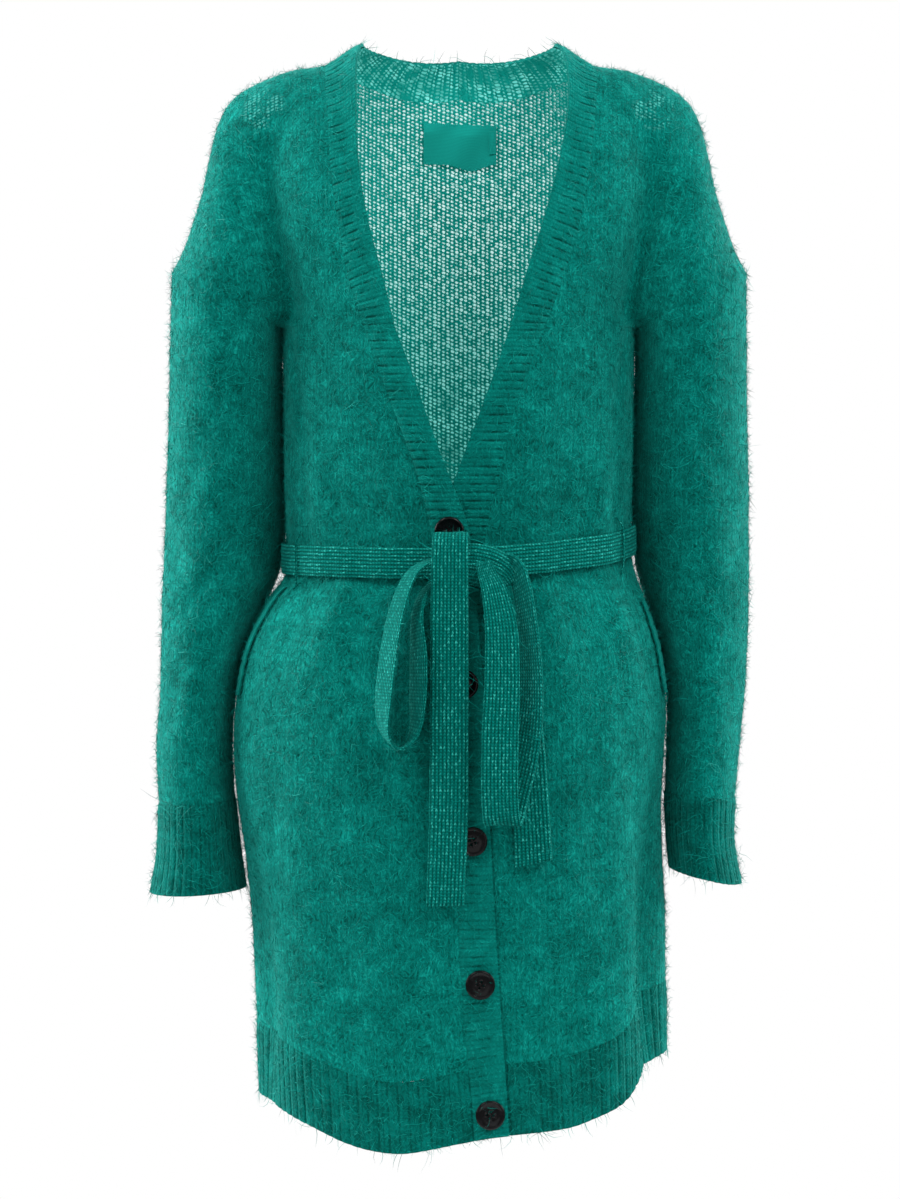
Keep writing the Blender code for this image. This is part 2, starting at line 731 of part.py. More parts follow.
def front_band(name, side):
    """Neck and button band of one front, from the shoulder down to the hem. The right one lies over the left."""
    columns = []
    for turn in reversed(YOKE_TURNS):
        seam, edge = neck_way(side, turn, 0), neck_way(side, turn, 1)
        columns.append([yoke_place(side, seam + (edge - seam) * t, turn) for t in BAND_ROWS])
    for level in (CHEST, *BODY_LEVELS, HEM_EDGE):
        seam, edge = seam_angle(side, level, 0), seam_angle(side, level, 1)
        column = []
        for t in BAND_ROWS:
            angle = seam + (edge - seam) * t
            p, n = body_place(angle, level)
            layered = smooth(read(PLACKET_CURVES, level, 5))
            shift = OVER_LIFT if side < 0 else -UNDER_DROP
            column.append((p + n * shift * layered, n))
        columns.append(column)
    grid = [[column[r] for column in columns] for r in range(len(BAND_ROWS))]
    return ribbed(name, pull_in(grid, ("low", "start")), RIB_PITCH, BAND_CLOTH)


def neck_band(name):
    """The band round the back of the neck, between the two shoulder seams."""
    turns = [-turn for turn in reversed(NECK_TURNS[1:])] + list(NECK_TURNS)
    grid = []
    for t in BAND_ROWS:
        reach = NECK_SEAM_WAY + (NECK_EDGE_WAY - NECK_SEAM_WAY) * t
        drop = NECK_SEAM_DROP + (NECK_EDGE_DROP - NECK_SEAM_DROP) * t
        row = []
        for turn in turns:
            side = -1 if turn < 0 else 1
            way = reach * abs(math.sin(math.radians(turn)))
            row.append(yoke_place(side, way, 90 + neck_drop(way, reach, drop)))
        grid.append(row)
    return ribbed(name, pull_in(grid, ("low", "start", "end"), 2 * SEAM_GAP), RIB_PITCH, BAND_CLOTH)


# Belt


def belt_waist(name):
    """The belt round the waist. Its two ends meet behind the knot, which lies on them."""
    outer, inner = [], []
    for lift, edge in ((-BELT_HALF, 0.0), (0.0, 0.0006), (BELT_HALF, 0.0)):
        out_row, in_row = [], []
        for i in range(BELT_COLUMNS + 1):
            t = i / BELT_COLUMNS
            t -= BELT_DENSER * math.sin(math.tau * t) / math.tau
            angle = BELT_START + (360 + BELT_END - BELT_START) * t
            turn = (angle + 180) % 360 - 180
            height = read(BELT_LINE, turn, 1)
            p = plain_waist(turn, height)
            n = Vector((math.sin(math.radians(turn)), -math.cos(math.radians(turn)), 0.0))
            place = p + Vector((0, 0, lift)) + n * belt_clear(turn)
            in_row.append(place)
            out_row.append(place + n * (BELT_CLOTH + edge))
        outer.append(out_row)
        inner.append(in_row)
    return wall(name, "belt", outer, inner)


def belt_clear(angle):
    """How far the belt stands off the waist: more over the bands, and most behind the knot."""
    over_bands = smooth((34 - abs(angle)) / 12)
    at_knot = smooth((16 - abs(angle - KNOT_ANGLE)) / 13)
    return BELT_CLEAR + BELT_OVER_BANDS * over_bands + KNOT_RISE * at_knot


def plain_waist(angle, height):
    """A smooth line round the outside of the folds at the waist: the widest of the levels the belt covers."""
    best = None
    for lift in (-BELT_HALF, 0.0, BELT_HALF):
        p = section_point(angle, height + lift)
        if best is None or p.x * p.x + p.y * p.y > best.x * best.x + best.y * best.y:
            best = p
    return Vector((best.x, best.y, height))


def strap(name, rows, steps, finish_name="belt", thick=BELT_CLOTH):
    """A knitted strap lofted along its middle line."""
    samples = [along(rows, i / steps) for i in range(steps + 1)]
    bm = bmesh.new()
    rings = []
    for i, (x, y, z, width, turn) in enumerate(samples):
        before, after = samples[max(i - 1, 0)], samples[min(i + 1, steps)]
        forward = (Vector(after[:3]) - Vector(before[:3])).normalized()
        a = math.radians(turn)
        wide = Vector((math.cos(a), -math.sin(a), 0.0))
        wide = (wide - forward * wide.dot(forward)).normalized()
        up = forward.cross(wide)
        middle = Vector((x, y, z))
        corners = ((-0.5, -0.35), (0.0, -0.5), (0.5, -0.35), (0.5, 0.35), (0.0, 0.5), (-0.5, 0.35))
        rings.append([bm.verts.new(middle + wide * (width * w) + up * (thick * t)) for w, t in corners])
    for low, high in zip(rings, rings[1:]):
        for i in range(len(low)):
            j = (i + 1) % len(low)
            bm.faces.new((low[i], low[j], high[j], high[i]))
    bm.faces.new(rings[0])
    bm.faces.new(rings[-1])
    return finish(bm, name, finish_name)


def knot(name):
    """The middle of the bow: a soft block as wide as the belt, pinched in by the strap that crosses it."""
    bm = bmesh.new()
    bmesh.ops.create_cube(bm, size=1.0)
    bmesh.ops.subdivide_edges(bm, edges=bm.edges[:], cuts=4, use_grid_fill=True)
    for v in bm.verts:
        x, y, z = v.co * 2
        round_off = (1 - 0.30 * y * y) * (1 - 0.14 * z * z)
        v.co.x = KNOT["x"] + x * KNOT["width"] / 2 * round_off
        v.co.y = KNOT["y"] + y * KNOT["depth"] / 2 * (1 - 0.22 * x * x) * (1 - 0.20 * z * z)
        v.co.z = KNOT["z"] + z * KNOT["height"] / 2 * (1 - 0.22 * x * x) * (1 - 0.22 * y * y)
    return finish(bm, name, "belt")


# Small pieces


def welt(name, rows):
    """The ribbed edge of a side pocket, a narrow strip laid on the front."""
    steps = 12
    grid = [[], []]
    for i in range(steps + 1):
        angle, height, half = along(rows, i / steps)
        for row, sign in zip(grid, (-1, 1)):
            p, n = section_point(angle, height), body_normal(angle, height)
            sideways = n.cross(Vector((0, 0, 1))).normalized()
            row.append((p + sideways * half * sign + n * (WELT_LIFT + WELT_CLOTH), n))
    return ribbed(name, grid, 0.0085, WELT_CLOTH, height=0.0006)


def button(name, height):
    x = (placket(-1, height, 0) + placket(-1, height, 1)) / 2
    angle = angle_at(x, height)
    n = body_normal(angle, height)
    base = section_point(angle, height) + n * (OVER_LIFT + RIB_HEIGHT + 0.0004)
    bm = bmesh.new()
    profile = (
        (0.0, 0.0),
        (BUTTON_RADIUS - 0.0010, 0.0),
        (BUTTON_RADIUS, BUTTON_THICK * 0.45),
        (BUTTON_RADIUS - 0.0007, BUTTON_THICK),
        (BUTTON_RADIUS - BUTTON_RIM, BUTTON_THICK),
        (BUTTON_RADIUS - BUTTON_RIM - 0.0010, BUTTON_THICK - BUTTON_DISH),
        (0.0, BUTTON_THICK - BUTTON_DISH),
    )
    verts = [bm.verts.new((r, 0.0, h)) for r, h in profile]
    edges = [bm.edges.new(pair) for pair in zip(verts, verts[1:])]
    bmesh.ops.spin(
        bm, geom=verts + edges, cent=(0, 0, 0), axis=(0, 0, 1), angle=math.tau, steps=16, use_merge=True
    )
    bmesh.ops.remove_doubles(bm, verts=bm.verts, dist=0.00001)
    turn = Vector((0, 0, 1)).rotation_difference(n).to_matrix().to_4x4()
    turn.translation = base
    bmesh.ops.transform(bm, matrix=turn, verts=bm.verts)
    return finish(bm, name, "button", 30)


def label(name):
    """A bare woven label inside the back of the neck, on the inner face of the wall."""
    across_steps, down_steps = 8, 3
    outer, inner = [], []
    for r in range(down_steps + 1):
        z = LABEL["top"] - LABEL["height"] * r / down_steps
        out_row, in_row = [], []
        for c in range(across_steps + 1):
            x = LABEL["x"] + LABEL["width"] * (c / across_steps - 0.5)
            p = back_inside(x, z)
            p.y -= CLOTH + LABEL["stand"]
            in_row.append(p)
            out_row.append(p - Vector((0, LABEL["cloth"], 0)))
        outer.append(out_row)
        inner.append(in_row)
    return wall(name, "label", outer, inner)


def back_inside(x, z):
    """The outer surface of the back at a place seen from the front."""
    side = -1 if x < 0 else 1
    way = abs(x) / 0.25
    turn = 130.0
    for _ in range(12):
        p = yoke_point(side, way, turn)
        way = max(way + (abs(x) - abs(p.x)) * 3.0, 0.0)
        turn = min(max(turn + (p.z - z) * 160.0, 95.0), 179.0)
    return yoke_point(side, way, turn)


def thread_loop(name, angle):
    """A thread bar outside the belt, its ends on the cloth above and below it."""
    height = read(BELT_LINE, angle, 1)
    a = math.radians(angle)
    n = Vector((math.sin(a), -math.cos(a), 0.0))
    out = plain_waist(angle, height) + n * (BELT_CLEAR + BELT_CLOTH + THREAD)
    rows = []
    for lift, stand in THREAD_WAY:
        z = height + lift * BELT_HALF
        on_cloth = section_point(angle, z) + n * (0.5 * THREAD + 2 * SEAM_GAP)
        p = on_cloth.lerp(Vector((out.x, out.y, z)), stand)
        rows.append((p.x, p.y, z, THREAD, 0))
    return strap(name, rows, 14, "thread", THREAD)


def clear_scene():
    for obj in list(bpy.data.objects):
        bpy.data.objects.remove(obj, do_unlink=True)


def main():
    clear_scene()
    back_panel("back_panel")
    front_panel("front_right", -1)
    front_panel("front_left", 1)
    sleeve("sleeve_right", -1, RIGHT_SLEEVE)
    sleeve("sleeve_left", 1, LEFT_SLEEVE)
    cuff("cuff_right", -1, RIGHT_CUFF)
    cuff("cuff_left", 1, LEFT_CUFF)
    hem_back("hem_back")
    hem_front("hem_right", -1)
    hem_front("hem_left", 1)
    front_band("band_right", -1)
    front_band("band_left", 1)
    neck_band("neck_band")
    belt_waist("belt_waist")
    knot("belt_knot")
    strap("belt_loop_right", RIGHT_LOOP, 28)
    strap("belt_loop_left", LEFT_LOOP, 38)
    strap("belt_tail_right", RIGHT_TAIL, 16)
    strap("belt_tail_left", LEFT_TAIL, 12)
    welt("pocket_welt_right", RIGHT_WELT)
    welt("pocket_welt_left", LEFT_WELT)
    label("label")
    for i, height in enumerate(BUTTON_LEVELS, start=1):
        button(f"button_{i}", height)
    for name, angle in THREAD_LOOPS:
        thread_loop(name, angle)


main()
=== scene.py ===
"""A long belted cardigan in brushed mohair knit, hollow as worn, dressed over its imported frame.

Metres, +Z up, the front faces -Y. "right" and "left" are the wearer's own, so the right side is at -X.
Every cloth piece is a thin shell on one surface, worked out from the same tables as the frame's solids.
"""

import math

import bmesh
import bpy
import numpy as np
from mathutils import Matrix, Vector


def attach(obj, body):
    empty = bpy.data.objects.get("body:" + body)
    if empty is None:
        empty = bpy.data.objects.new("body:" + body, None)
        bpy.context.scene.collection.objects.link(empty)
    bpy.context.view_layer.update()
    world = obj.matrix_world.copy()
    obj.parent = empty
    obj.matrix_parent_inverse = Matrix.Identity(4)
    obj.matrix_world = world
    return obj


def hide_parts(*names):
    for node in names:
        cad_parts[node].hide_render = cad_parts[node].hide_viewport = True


bl_info = {
    "name": "Belted mohair cardigan",
    "version": (1, 0, 0),
    "blender": (4, 5, 0),
    "location": "View3D > Sidebar > Cardigan",
    "description": "Builds a belted mohair cardigan from its knitted pieces",
    "category": "Object",
}

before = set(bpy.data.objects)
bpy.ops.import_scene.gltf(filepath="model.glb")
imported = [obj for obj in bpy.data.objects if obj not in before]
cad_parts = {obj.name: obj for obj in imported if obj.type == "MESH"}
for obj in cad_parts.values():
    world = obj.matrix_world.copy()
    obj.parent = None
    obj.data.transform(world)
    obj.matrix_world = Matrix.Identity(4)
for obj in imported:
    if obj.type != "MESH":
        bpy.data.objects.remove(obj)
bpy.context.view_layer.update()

BODY = "root"

# Body levels
CHEST = -0.216
HEM_BLEND = -0.700
HEM_SEAM = -0.815
HEM_EDGE = -0.872
HEM_RIB_DEPTH = 0.057
ROUNDNESS = 2.3

# Half sizes of the body at each level: height, right, left, front depth, back depth
BODY_SECTIONS = (
    (-0.216, 0.1460, 0.1455, 0.115, 0.102),
    (-0.250, 0.1458, 0.1450, 0.118, 0.102),
    (-0.330, 0.1450, 0.1437, 0.112, 0.098),
    (-0.380, 0.1435, 0.1425, 0.103, 0.090),
    (-0.402, 0.1430, 0.1425, 0.099, 0.087),
    (-0.419, 0.1438, 0.1465, 0.099, 0.087),
    (-0.440, 0.1590, 0.1545, 0.106, 0.095),
    (-0.477, 0.1765, 0.1660, 0.116, 0.109),
    (-0.523, 0.1845, 0.1712, 0.123, 0.120),
    (-0.563, 0.1865, 0.1695, 0.127, 0.125),
    (-0.606, 0.1830, 0.1672, 0.129, 0.125),
    (-0.647, 0.1770, 0.1680, 0.129, 0.122),
    (-0.700, 0.1715, 0.1705, 0.127, 0.118),
    (-0.790, 0.1670, 0.1710, 0.126, 0.116),
    (-0.880, 0.1630, 0.1730, 0.126, 0.117),
)

# Bottom edge of the hem round the body: side angle (0 front, +90 wearer's left, 180 back), height
HEM_LINE = (
    (-180, -0.856), (-120, -0.852), (-90, -0.846), (-76, -0.846), (-57, -0.8505),
    (-44, -0.858), (-31, -0.870), (-22, -0.8755), (-13, -0.877), (-4, -0.872),
    (6, -0.864), (27, -0.858), (35, -0.852), (46, -0.841), (57, -0.824),
    (68, -0.816), (90, -0.811), (120, -0.836), (180, -0.856),
)

# Largest folds in the body: side angle, height, half width in degrees, half height, depth, slant
BODY_FOLDS = (
    (67, -0.735, 9, 0.110, -0.017, 0),
    (-70, -0.760, 8, 0.090, -0.010, 0),
    (44, -0.790, 10, 0.110, 0.005, 0),
    (-46, -0.800, 11, 0.120, 0.004, 0),
    (-22, -0.470, 5, 0.045, -0.004, 0),
    (-36, -0.455, 5, 0.040, 0.003, 0),
    (-52, -0.462, 6, 0.050, -0.004, 0),
    (24, -0.455, 5, 0.040, 0.003, 0),
    (38, -0.465, 5, 0.050, -0.004, 0),
    (54, -0.455, 6, 0.040, 0.003, 0),
    (-30, -0.350, 6, 0.045, -0.003, 0),
    (-50, -0.345, 6, 0.050, 0.003, 0),
    (33, -0.352, 6, 0.045, -0.003, 0),
    (52, -0.345, 6, 0.050, 0.003, 0),
    (150, -0.470, 7, 0.060, -0.005, 0),
    (172, -0.450, 7, 0.050, 0.004, 0),
    (-165, -0.465, 7, 0.055, -0.005, 0),
    (-145, -0.455, 7, 0.050, 0.004, 0),
    (160, -0.340, 7, 0.050, -0.004, 0),
    (-158, -0.345, 7, 0.050, -0.004, 0),
    (135, -0.780, 12, 0.130, 0.006, 0),
    (-138, -0.780, 12, 0.130, 0.006, 0),
    (178, -0.790, 12, 0.130, -0.006, 0),
)

# Smaller creases, in the same columns. The slant is in degrees for each metre of height
BODY_CREASES = (
    (-14, -0.455, 2.2, 0.030, -0.0020, 60),
    (-29, -0.447, 2.4, 0.034, -0.0022, -40),
    (-43, -0.452, 2.6, 0.026, -0.0018, 30),
    (-61, -0.466, 2.6, 0.045, -0.0024, 90),
    (18, -0.450, 2.0, 0.028, -0.0018, -50),
    (31, -0.444, 2.4, 0.036, -0.0022, 40),
    (46, -0.458, 2.6, 0.040, -0.0020, -70),
    (62, -0.470, 2.8, 0.050, -0.0024, -110),
    (-24, -0.366, 2.4, 0.024, -0.0016, 90),
    (-40, -0.362, 2.6, 0.030, -0.0020, -60),
    (-57, -0.358, 2.6, 0.026, -0.0016, 40),
    (27, -0.364, 2.4, 0.026, -0.0016, -80),
    (43, -0.360, 2.6, 0.028, -0.0020, 60),
    (60, -0.355, 2.8, 0.030, -0.0016, -30),
    (-55, -0.640, 5.0, 0.090, -0.0026, 70),
    (-33, -0.700, 5.0, 0.080, -0.0018, -60),
    (39, -0.650, 4.5, 0.100, -0.0022, -50),
    (56, -0.600, 4.5, 0.070, -0.0026, -90),
    (-64, -0.260, 4.0, 0.050, -0.0024, -140),
    (64, -0.255, 4.0, 0.050, -0.0024, 140),
    (128, -0.452, 2.6, 0.036, -0.0022, 60),
    (143, -0.447, 2.6, 0.030, -0.0018, -50),
    (158, -0.450, 2.8, 0.040, -0.0024, 40),
    (-176, -0.446, 2.6, 0.032, -0.0018, 50),
    (-155, -0.452, 2.8, 0.038, -0.0022, -40),
    (-134, -0.449, 2.6, 0.034, -0.0020, 70),
    (134, -0.352, 2.8, 0.030, -0.0016, 60),
    (170, -0.356, 2.8, 0.034, -0.0018, -40),
    (-140, -0.354, 2.8, 0.030, -0.0018, 50),
    (150, -0.640, 6.0, 0.100, -0.0024, 40),
    (-152, -0.660, 6.0, 0.090, -0.0024, -50),
)

# Shoulder line seen from the front, from the centre of the neck out to the drop-shoulder corner: way, x, z
SHOULDER_LINE = (
    (0.000, 0.0000, 0.0300),
    (0.225, 0.0790, 0.0205),
    (0.326, 0.1085, 0.0040),
    (0.425, 0.1420, -0.0020),
    (0.530, 0.1775, -0.0170),
    (0.585, 0.1920, -0.0300),
    (0.640, 0.2005, -0.0480),
    (0.700, 0.2065, -0.0720),
    (0.780, 0.2120, -0.1000),
    (0.860, 0.2200, -0.1260),
    (0.940, 0.2285, -0.1510),
    (1.000, 0.2380, -0.1690),
)
NECK_SEAM_WAY = 0.326
NECK_EDGE_WAY = 0.225
NECK_SEAM_DROP = 35.6
NECK_EDGE_DROP = 20.8
NECK_CORE = (0.0, 0.0, -0.08)

# Sleeve head: half depth of the armhole. The crease between chest and sleeve: how its way comes in for each
# degree of turn, its depth, its half width as a way, and the turns between which it fades in and out
HEAD_DEPTH = 0.068
CREASE_SLOPE = 0.0082
CREASE_DEPTH = 0.014
CREASE_WIDTH = 0.07
CREASE_TURNS = (8, 68)

# Way out from the centre of both neck bands' edges, from the chest (0 degrees) up to the shoulder (90)
NECK_CURVES = (
    # angle, right seam, right edge, left seam, left edge
    (0, 0.530, 0.360, 0.475, 0.284),
    (15, 0.505, 0.345, 0.468, 0.297),
    (30, 0.450, 0.337, 0.445, 0.312),
    (45, 0.400, 0.310, 0.405, 0.310),
    (60, 0.360, 0.272, 0.372, 0.292),
    (90, 0.326, 0.225, 0.326, 0.225),
)

# The same edges below the chest as x, with how far the bands are layered (0 side by side, 1 right over left)
PLACKET_CURVES = (
    # height, right seam, right edge, left seam, left edge, layered
    (-0.216, -0.0774, -0.0526, 0.0691, 0.0413, 0.0),
    (-0.253, -0.0646, -0.0385, 0.0545, 0.0285, 0.0),
    (-0.293, -0.0494, -0.0245, 0.0415, 0.0140, 0.6),
    (-0.333, -0.0350, -0.0098, 0.0330, -0.0010, 1.0),
    (-0.373, -0.0247, 0.0056, 0.0235, -0.0150, 1.0),
    (-0.405, -0.0207, 0.0105, 0.0195, -0.0165, 1.0),
    (-0.516, -0.0112, 0.0195, 0.0213, -0.0085, 1.0),
    (-0.628, -0.0040, 0.0247, 0.0265, -0.0013, 1.0),
    (-0.742, 0.0016, 0.0312, 0.0330, 0.0043, 1.0),
    (-0.847, 0.0104, 0.0383, 0.0401, 0.0131, 1.0),
    (-0.900, 0.0130, 0.0400, 0.0418, 0.0157, 1.0),
)
OVER_LIFT = 0.0022
UNDER_DROP = 0.0023

# Sleeve rings below the armhole: height, inner x, outer x, half depth, centre y, drop of the inner side
RIGHT_SLEEVE = (
    (-0.232, 0.1470, 0.2395, 0.0710, 0.005, 0.012),
    (-0.290, 0.1462, 0.2415, 0.0740, 0.014, 0.004),
    (-0.345, 0.1452, 0.2440, 0.0730, 0.022, 0.000),
    (-0.380, 0.1450, 0.2455, 0.0710, 0.027, 0.000),
    (-0.410, 0.1485, 0.2470, 0.0680, 0.029, 0.000),
    (-0.440, 0.1600, 0.2482, 0.0650, 0.028, 0.000),
    (-0.480, 0.1780, 0.2485, 0.0620, 0.024, 0.000),
    (-0.523, 0.1865, 0.2492, 0.0590, 0.018, 0.000),
    (-0.563, 0.1888, 0.2515, 0.0560, 0.012, 0.000),
    (-0.606, 0.1865, 0.2490, 0.0540, 0.006, -0.002),
)
RIGHT_CUFF = (
    (-0.606, 0.1865, 0.2490, 0.0540, 0.006, -0.002),
    (-0.645, 0.1825, 0.2500, 0.0545, 0.004, -0.002),
    (-0.6795, 0.1775, 0.2555, 0.0575, 0.002, -0.002),
)
LEFT_SLEEVE = (
    (-0.232, 0.1465, 0.2385, 0.0710, 0.005, 0.012),
    (-0.290, 0.1452, 0.2395, 0.0740, 0.014, 0.004),
    (-0.345, 0.1442, 0.2418, 0.0730, 0.022, 0.000),
    (-0.380, 0.1448, 0.2422, 0.0710, 0.027, 0.000),
    (-0.410, 0.1480, 0.2425, 0.0680, 0.029, 0.000),
    (-0.440, 0.1560, 0.2420, 0.0650, 0.028, 0.000),
    (-0.480, 0.1675, 0.2405, 0.0620, 0.024, 0.000),
    (-0.523, 0.1735, 0.2375, 0.0590, 0.018, 0.000),
    (-0.563, 0.1728, 0.2330, 0.0560, 0.012, 0.000),
    (-0.600, 0.1715, 0.2290, 0.0540, 0.006, -0.002),
)
LEFT_CUFF = (
    (-0.600, 0.1715, 0.2290, 0.0540, 0.006, -0.002),
    (-0.634, 0.1725, 0.2275, 0.0535, 0.004, -0.004),
    (-0.6675, 0.1750, 0.2335, 0.0550, 0.002, -0.0065),
)

# Creases in the sleeves, in the same columns as those of the body. The angle is the turn round the arm: 90 in
# front, 180 at its outer side
SLEEVE_CREASES = (
    (70, -0.270, 12, 0.040, -0.0040, 500),
    (110, -0.320, 12, 0.045, -0.0030, -450),
    (60, -0.385, 13, 0.030, -0.0045, 600),
    (100, -0.425, 14, 0.026, -0.0040, -550),
    (140, -0.400, 14, 0.028, -0.0030, 500),
    (75, -0.470, 13, 0.030, -0.0036, 500),
    (125, -0.520, 14, 0.034, -0.0030, -400),
    (60, -0.560, 12, 0.024, -0.0034, 450),
    (100, -0.586, 15, 0.018, -0.0026, 300),
    (230, -0.300, 16, 0.050, -0.0034, 300),
    (290, -0.390, 15, 0.034, -0.0040, -500),
    (240, -0.440, 15, 0.030, -0.0036, 450),
    (300, -0.520, 14, 0.032, -0.0030, 400),
    (250, -0.575, 14, 0.024, -0.0026, -350),
)

# Belt round the waist: side angle, height of its middle
BELT_LINE = (
    (-180, -0.394), (-90, -0.4045), (-45, -0.4065), (0, -0.4070), (45, -0.3985), (90, -0.3890), (180, -0.394),
)
BELT_HALF = 0.0125
BELT_CLEAR = 0.0016
BELT_OVER_BANDS = 0.0022
BELT_START = 5.7
BELT_END = 2.2
KNOT_ANGLE = 4.0
KNOT_RISE = 0.0066

# Straps of the bow, along their middle line: x, y, z, width, turn of the width from the X axis in degrees
RIGHT_TAIL = (
    (-0.0040, -0.1170, -0.3928, 0.027, 0),
    (-0.0058, -0.1228, -0.3843, 0.027, 0),
    (-0.0070, -0.1300, -0.3852, 0.028, 0),
    (-0.0075, -0.1345, -0.3960, 0.029, 0),
    (-0.0078, -0.1365, -0.4300, 0.030, 0),
    (-0.0080, -0.1390, -0.5200, 0.031, 0),
    (-0.0084, -0.1400, -0.6000, 0.031, 0),
    (-0.0112, -0.1395, -0.6780, 0.030, 0),
)
LEFT_TAIL = (
    (0.0242, -0.1195, -0.4253, 0.015, 0),
    (0.0300, -0.1175, -0.4390, 0.020, 0),
    (0.0385, -0.1190, -0.4620, 0.024, 0),
    (0.0470, -0.1240, -0.5000, 0.028, 0),
    (0.0530, -0.1305, -0.5500, 0.029, 0),
    (0.0565, -0.1325, -0.6000, 0.029, 0),
    (0.0590, -0.1320, -0.6450, 0.030, 0),
)
RIGHT_LOOP = (
    (-0.0070, -0.1225, -0.4030, 0.012, 62),
    (-0.0235, -0.1245, -0.4055, 0.016, 62),
    (-0.0385, -0.1300, -0.4160, 0.021, 62),
    (-0.0490, -0.1370, -0.4420, 0.026, 62),
    (-0.0555, -0.1400, -0.4750, 0.029, 62),
    (-0.0600, -0.1420, -0.5150, 0.030, 64),
    (-0.0590, -0.1430, -0.5400, 0.030, 76),
    (-0.0475, -0.1430, -0.5530, 0.030, 89),
    (-0.0360, -0.1430, -0.5410, 0.030, 76),
    (-0.0330, -0.1420, -0.5150, 0.029, 64),
    (-0.0325, -0.1400, -0.4800, 0.028, 62),
    (-0.0335, -0.1340, -0.4480, 0.018, 62),
    (-0.0255, -0.1240, -0.4270, 0.012, 62),
    (-0.0070, -0.1220, -0.4165, 0.010, 62),
)
LEFT_LOOP = (
    (0.0362, -0.1190, -0.4040, 0.014, 50),
    (0.0455, -0.1275, -0.4130, 0.022, 55),
    (0.0515, -0.1355, -0.4380, 0.027, 58),
    (0.0555, -0.1400, -0.4750, 0.029, 56),
    (0.0560, -0.1425, -0.5150, 0.029, 48),
    (0.0500, -0.1430, -0.5550, 0.029, 26),
    (0.0410, -0.1430, -0.5880, 0.029, 8),
    (0.0370, -0.1455, -0.6050, 0.029, 2),
    (0.0345, -0.1515, -0.6115, 0.029, 0),
    (0.0325, -0.1575, -0.6040, 0.029, 0),
    (0.0315, -0.1595, -0.5800, 0.029, 0),
    (0.0320, -0.1590, -0.5400, 0.029, 0),
    (0.0335, -0.1570, -0.5000, 0.028, 0),
    (0.0330, -0.1520, -0.4600, 0.026, 0),
    (0.0280, -0.1420, -0.4300, 0.021, 0),
    (0.0225, -0.1330, -0.4160, 0.016, 0),
    (0.0190, -0.1290, -0.4060, 0.013, 0),
)
# Crossed strap of the knot, from under the tail into the left loop: x, y, z, width, depth
KNOT_ARCH = (
    (-0.0060, -0.1205, -0.4080, 0.029, 0.0105),
    (0.0040, -0.1215, -0.4075, 0.033, 0.0130),
    (0.0150, -0.1222, -0.4085, 0.034, 0.0140),
    (0.0260, -0.1222, -0.4115, 0.033, 0.0140),
    (0.0350, -0.1215, -0.4165, 0.029, 0.0130),
    (0.0405, -0.1210, -0.4240, 0.023, 0.0110),
)

KNOT_CUT = (0.042, 0.046)

BUTTON_LEVELS = (-0.3805, -0.5040, -0.6275, -0.7415, -0.8450)

# Ribbed welts of the side pockets, from top to bottom: side angle of the middle, height, half width
RIGHT_WELT = ((-69.5, -0.428, 0.0035), (-74, -0.470, 0.0060), (-76, -0.505, 0.0065), (-77, -0.517, 0.0060))
LEFT_WELT = ((74, -0.440, 0.0050), (75, -0.470, 0.0065), (76, -0.500, 0.0065), (78, -0.515, 0.0060))
WELT_LIFT = 0.0016
WELT_DEPTH = 0.0022
WELT_SWELL = 0.0006

# Where the fronts are worn thin enough to see through: distance from the middle, height, radius
SEE_THROUGH = (0.160, -0.036, 0.020)

LABEL = {"x": 0.0010, "top": -0.0360, "height": 0.0350, "width": 0.0620, "stand": 0.0010, "slump": 0.0055}
# Middle, top, width and height of the size tab, which hangs over the label's end, its wave and its lift
SIZE_TAB = (LABEL["x"] + LABEL["width"] / 2 - 0.0035, LABEL["top"] - 0.0075, 0.0060, 0.0190)
TAB_WAVE = 0.0002
TAB_LIFT = 0.0022
# From the label to a place outside the back, so that its face looks inwards
BEHIND = np.array((0.0, 0.2, 0.0))

# Thread loops: side angle. Their way down over the belt: place in half belt heights, and how far it stands
# out, from the cloth (0) to the belt's face (1)
THREAD_LOOPS = (("thread_loop_right", -61), ("thread_loop_left", 62))
THREAD_WAY = (
    (1.9, 0.0), (1.6, 0.35), (1.2, 0.9), (0.5, 1.0), (-0.5, 1.0), (-1.2, 0.9), (-1.6, 0.35), (-1.9, 0.0),
)

# How finely the pieces are drawn: steps of turn in degrees, and steps and rough spans in metres
TURN_STEP = 2.4
BAND_TURN_STEP = 0.55
BAND_STEP = 0.0009
FRONT_REACH = 0.20
HALF_BACK_REACH = 0.22
SLEEVE_GIRTH = 0.33
SLEEVE_LENGTH = 0.375
CUFF_LENGTH = 0.075
CUFF_STEP = 0.0045
CUFF_COLUMNS = 288

# Rings at each end of a closed strap, and the angle in degrees from which an edge stays crisp
END_RINGS = 3
CRISP_RIM = 60
CRISP_BUTTON = 50

# Loose fibres: how far a tip may stand off the cloth, and how deep a root sits in it
HIGHEST_TIP = 0.0075
ROOT_DEPTH = 0.0004

# What every lamp points at
LIGHT_AIM = (0.0, 0.0, -0.40)

# Points and normals of every finished cloth surface, kept for the nap
surfaces = {}


# Settings


def length(name, description, default):
    return bpy.props.FloatProperty(
        name=name, description=description, default=default,
        min=0.0, unit="LENGTH", subtype="DISTANCE", precision=5,
    )


def amount(name, description, default, kind="NONE"):
    return bpy.props.FloatProperty(name=name, description=description, default=default, unit=kind)


def colour(name, description, default):
    return bpy.props.FloatVectorProperty(
        name=name, description=description, default=default, min=0.0, max=1.0, size=3, subtype="COLOR"
    )


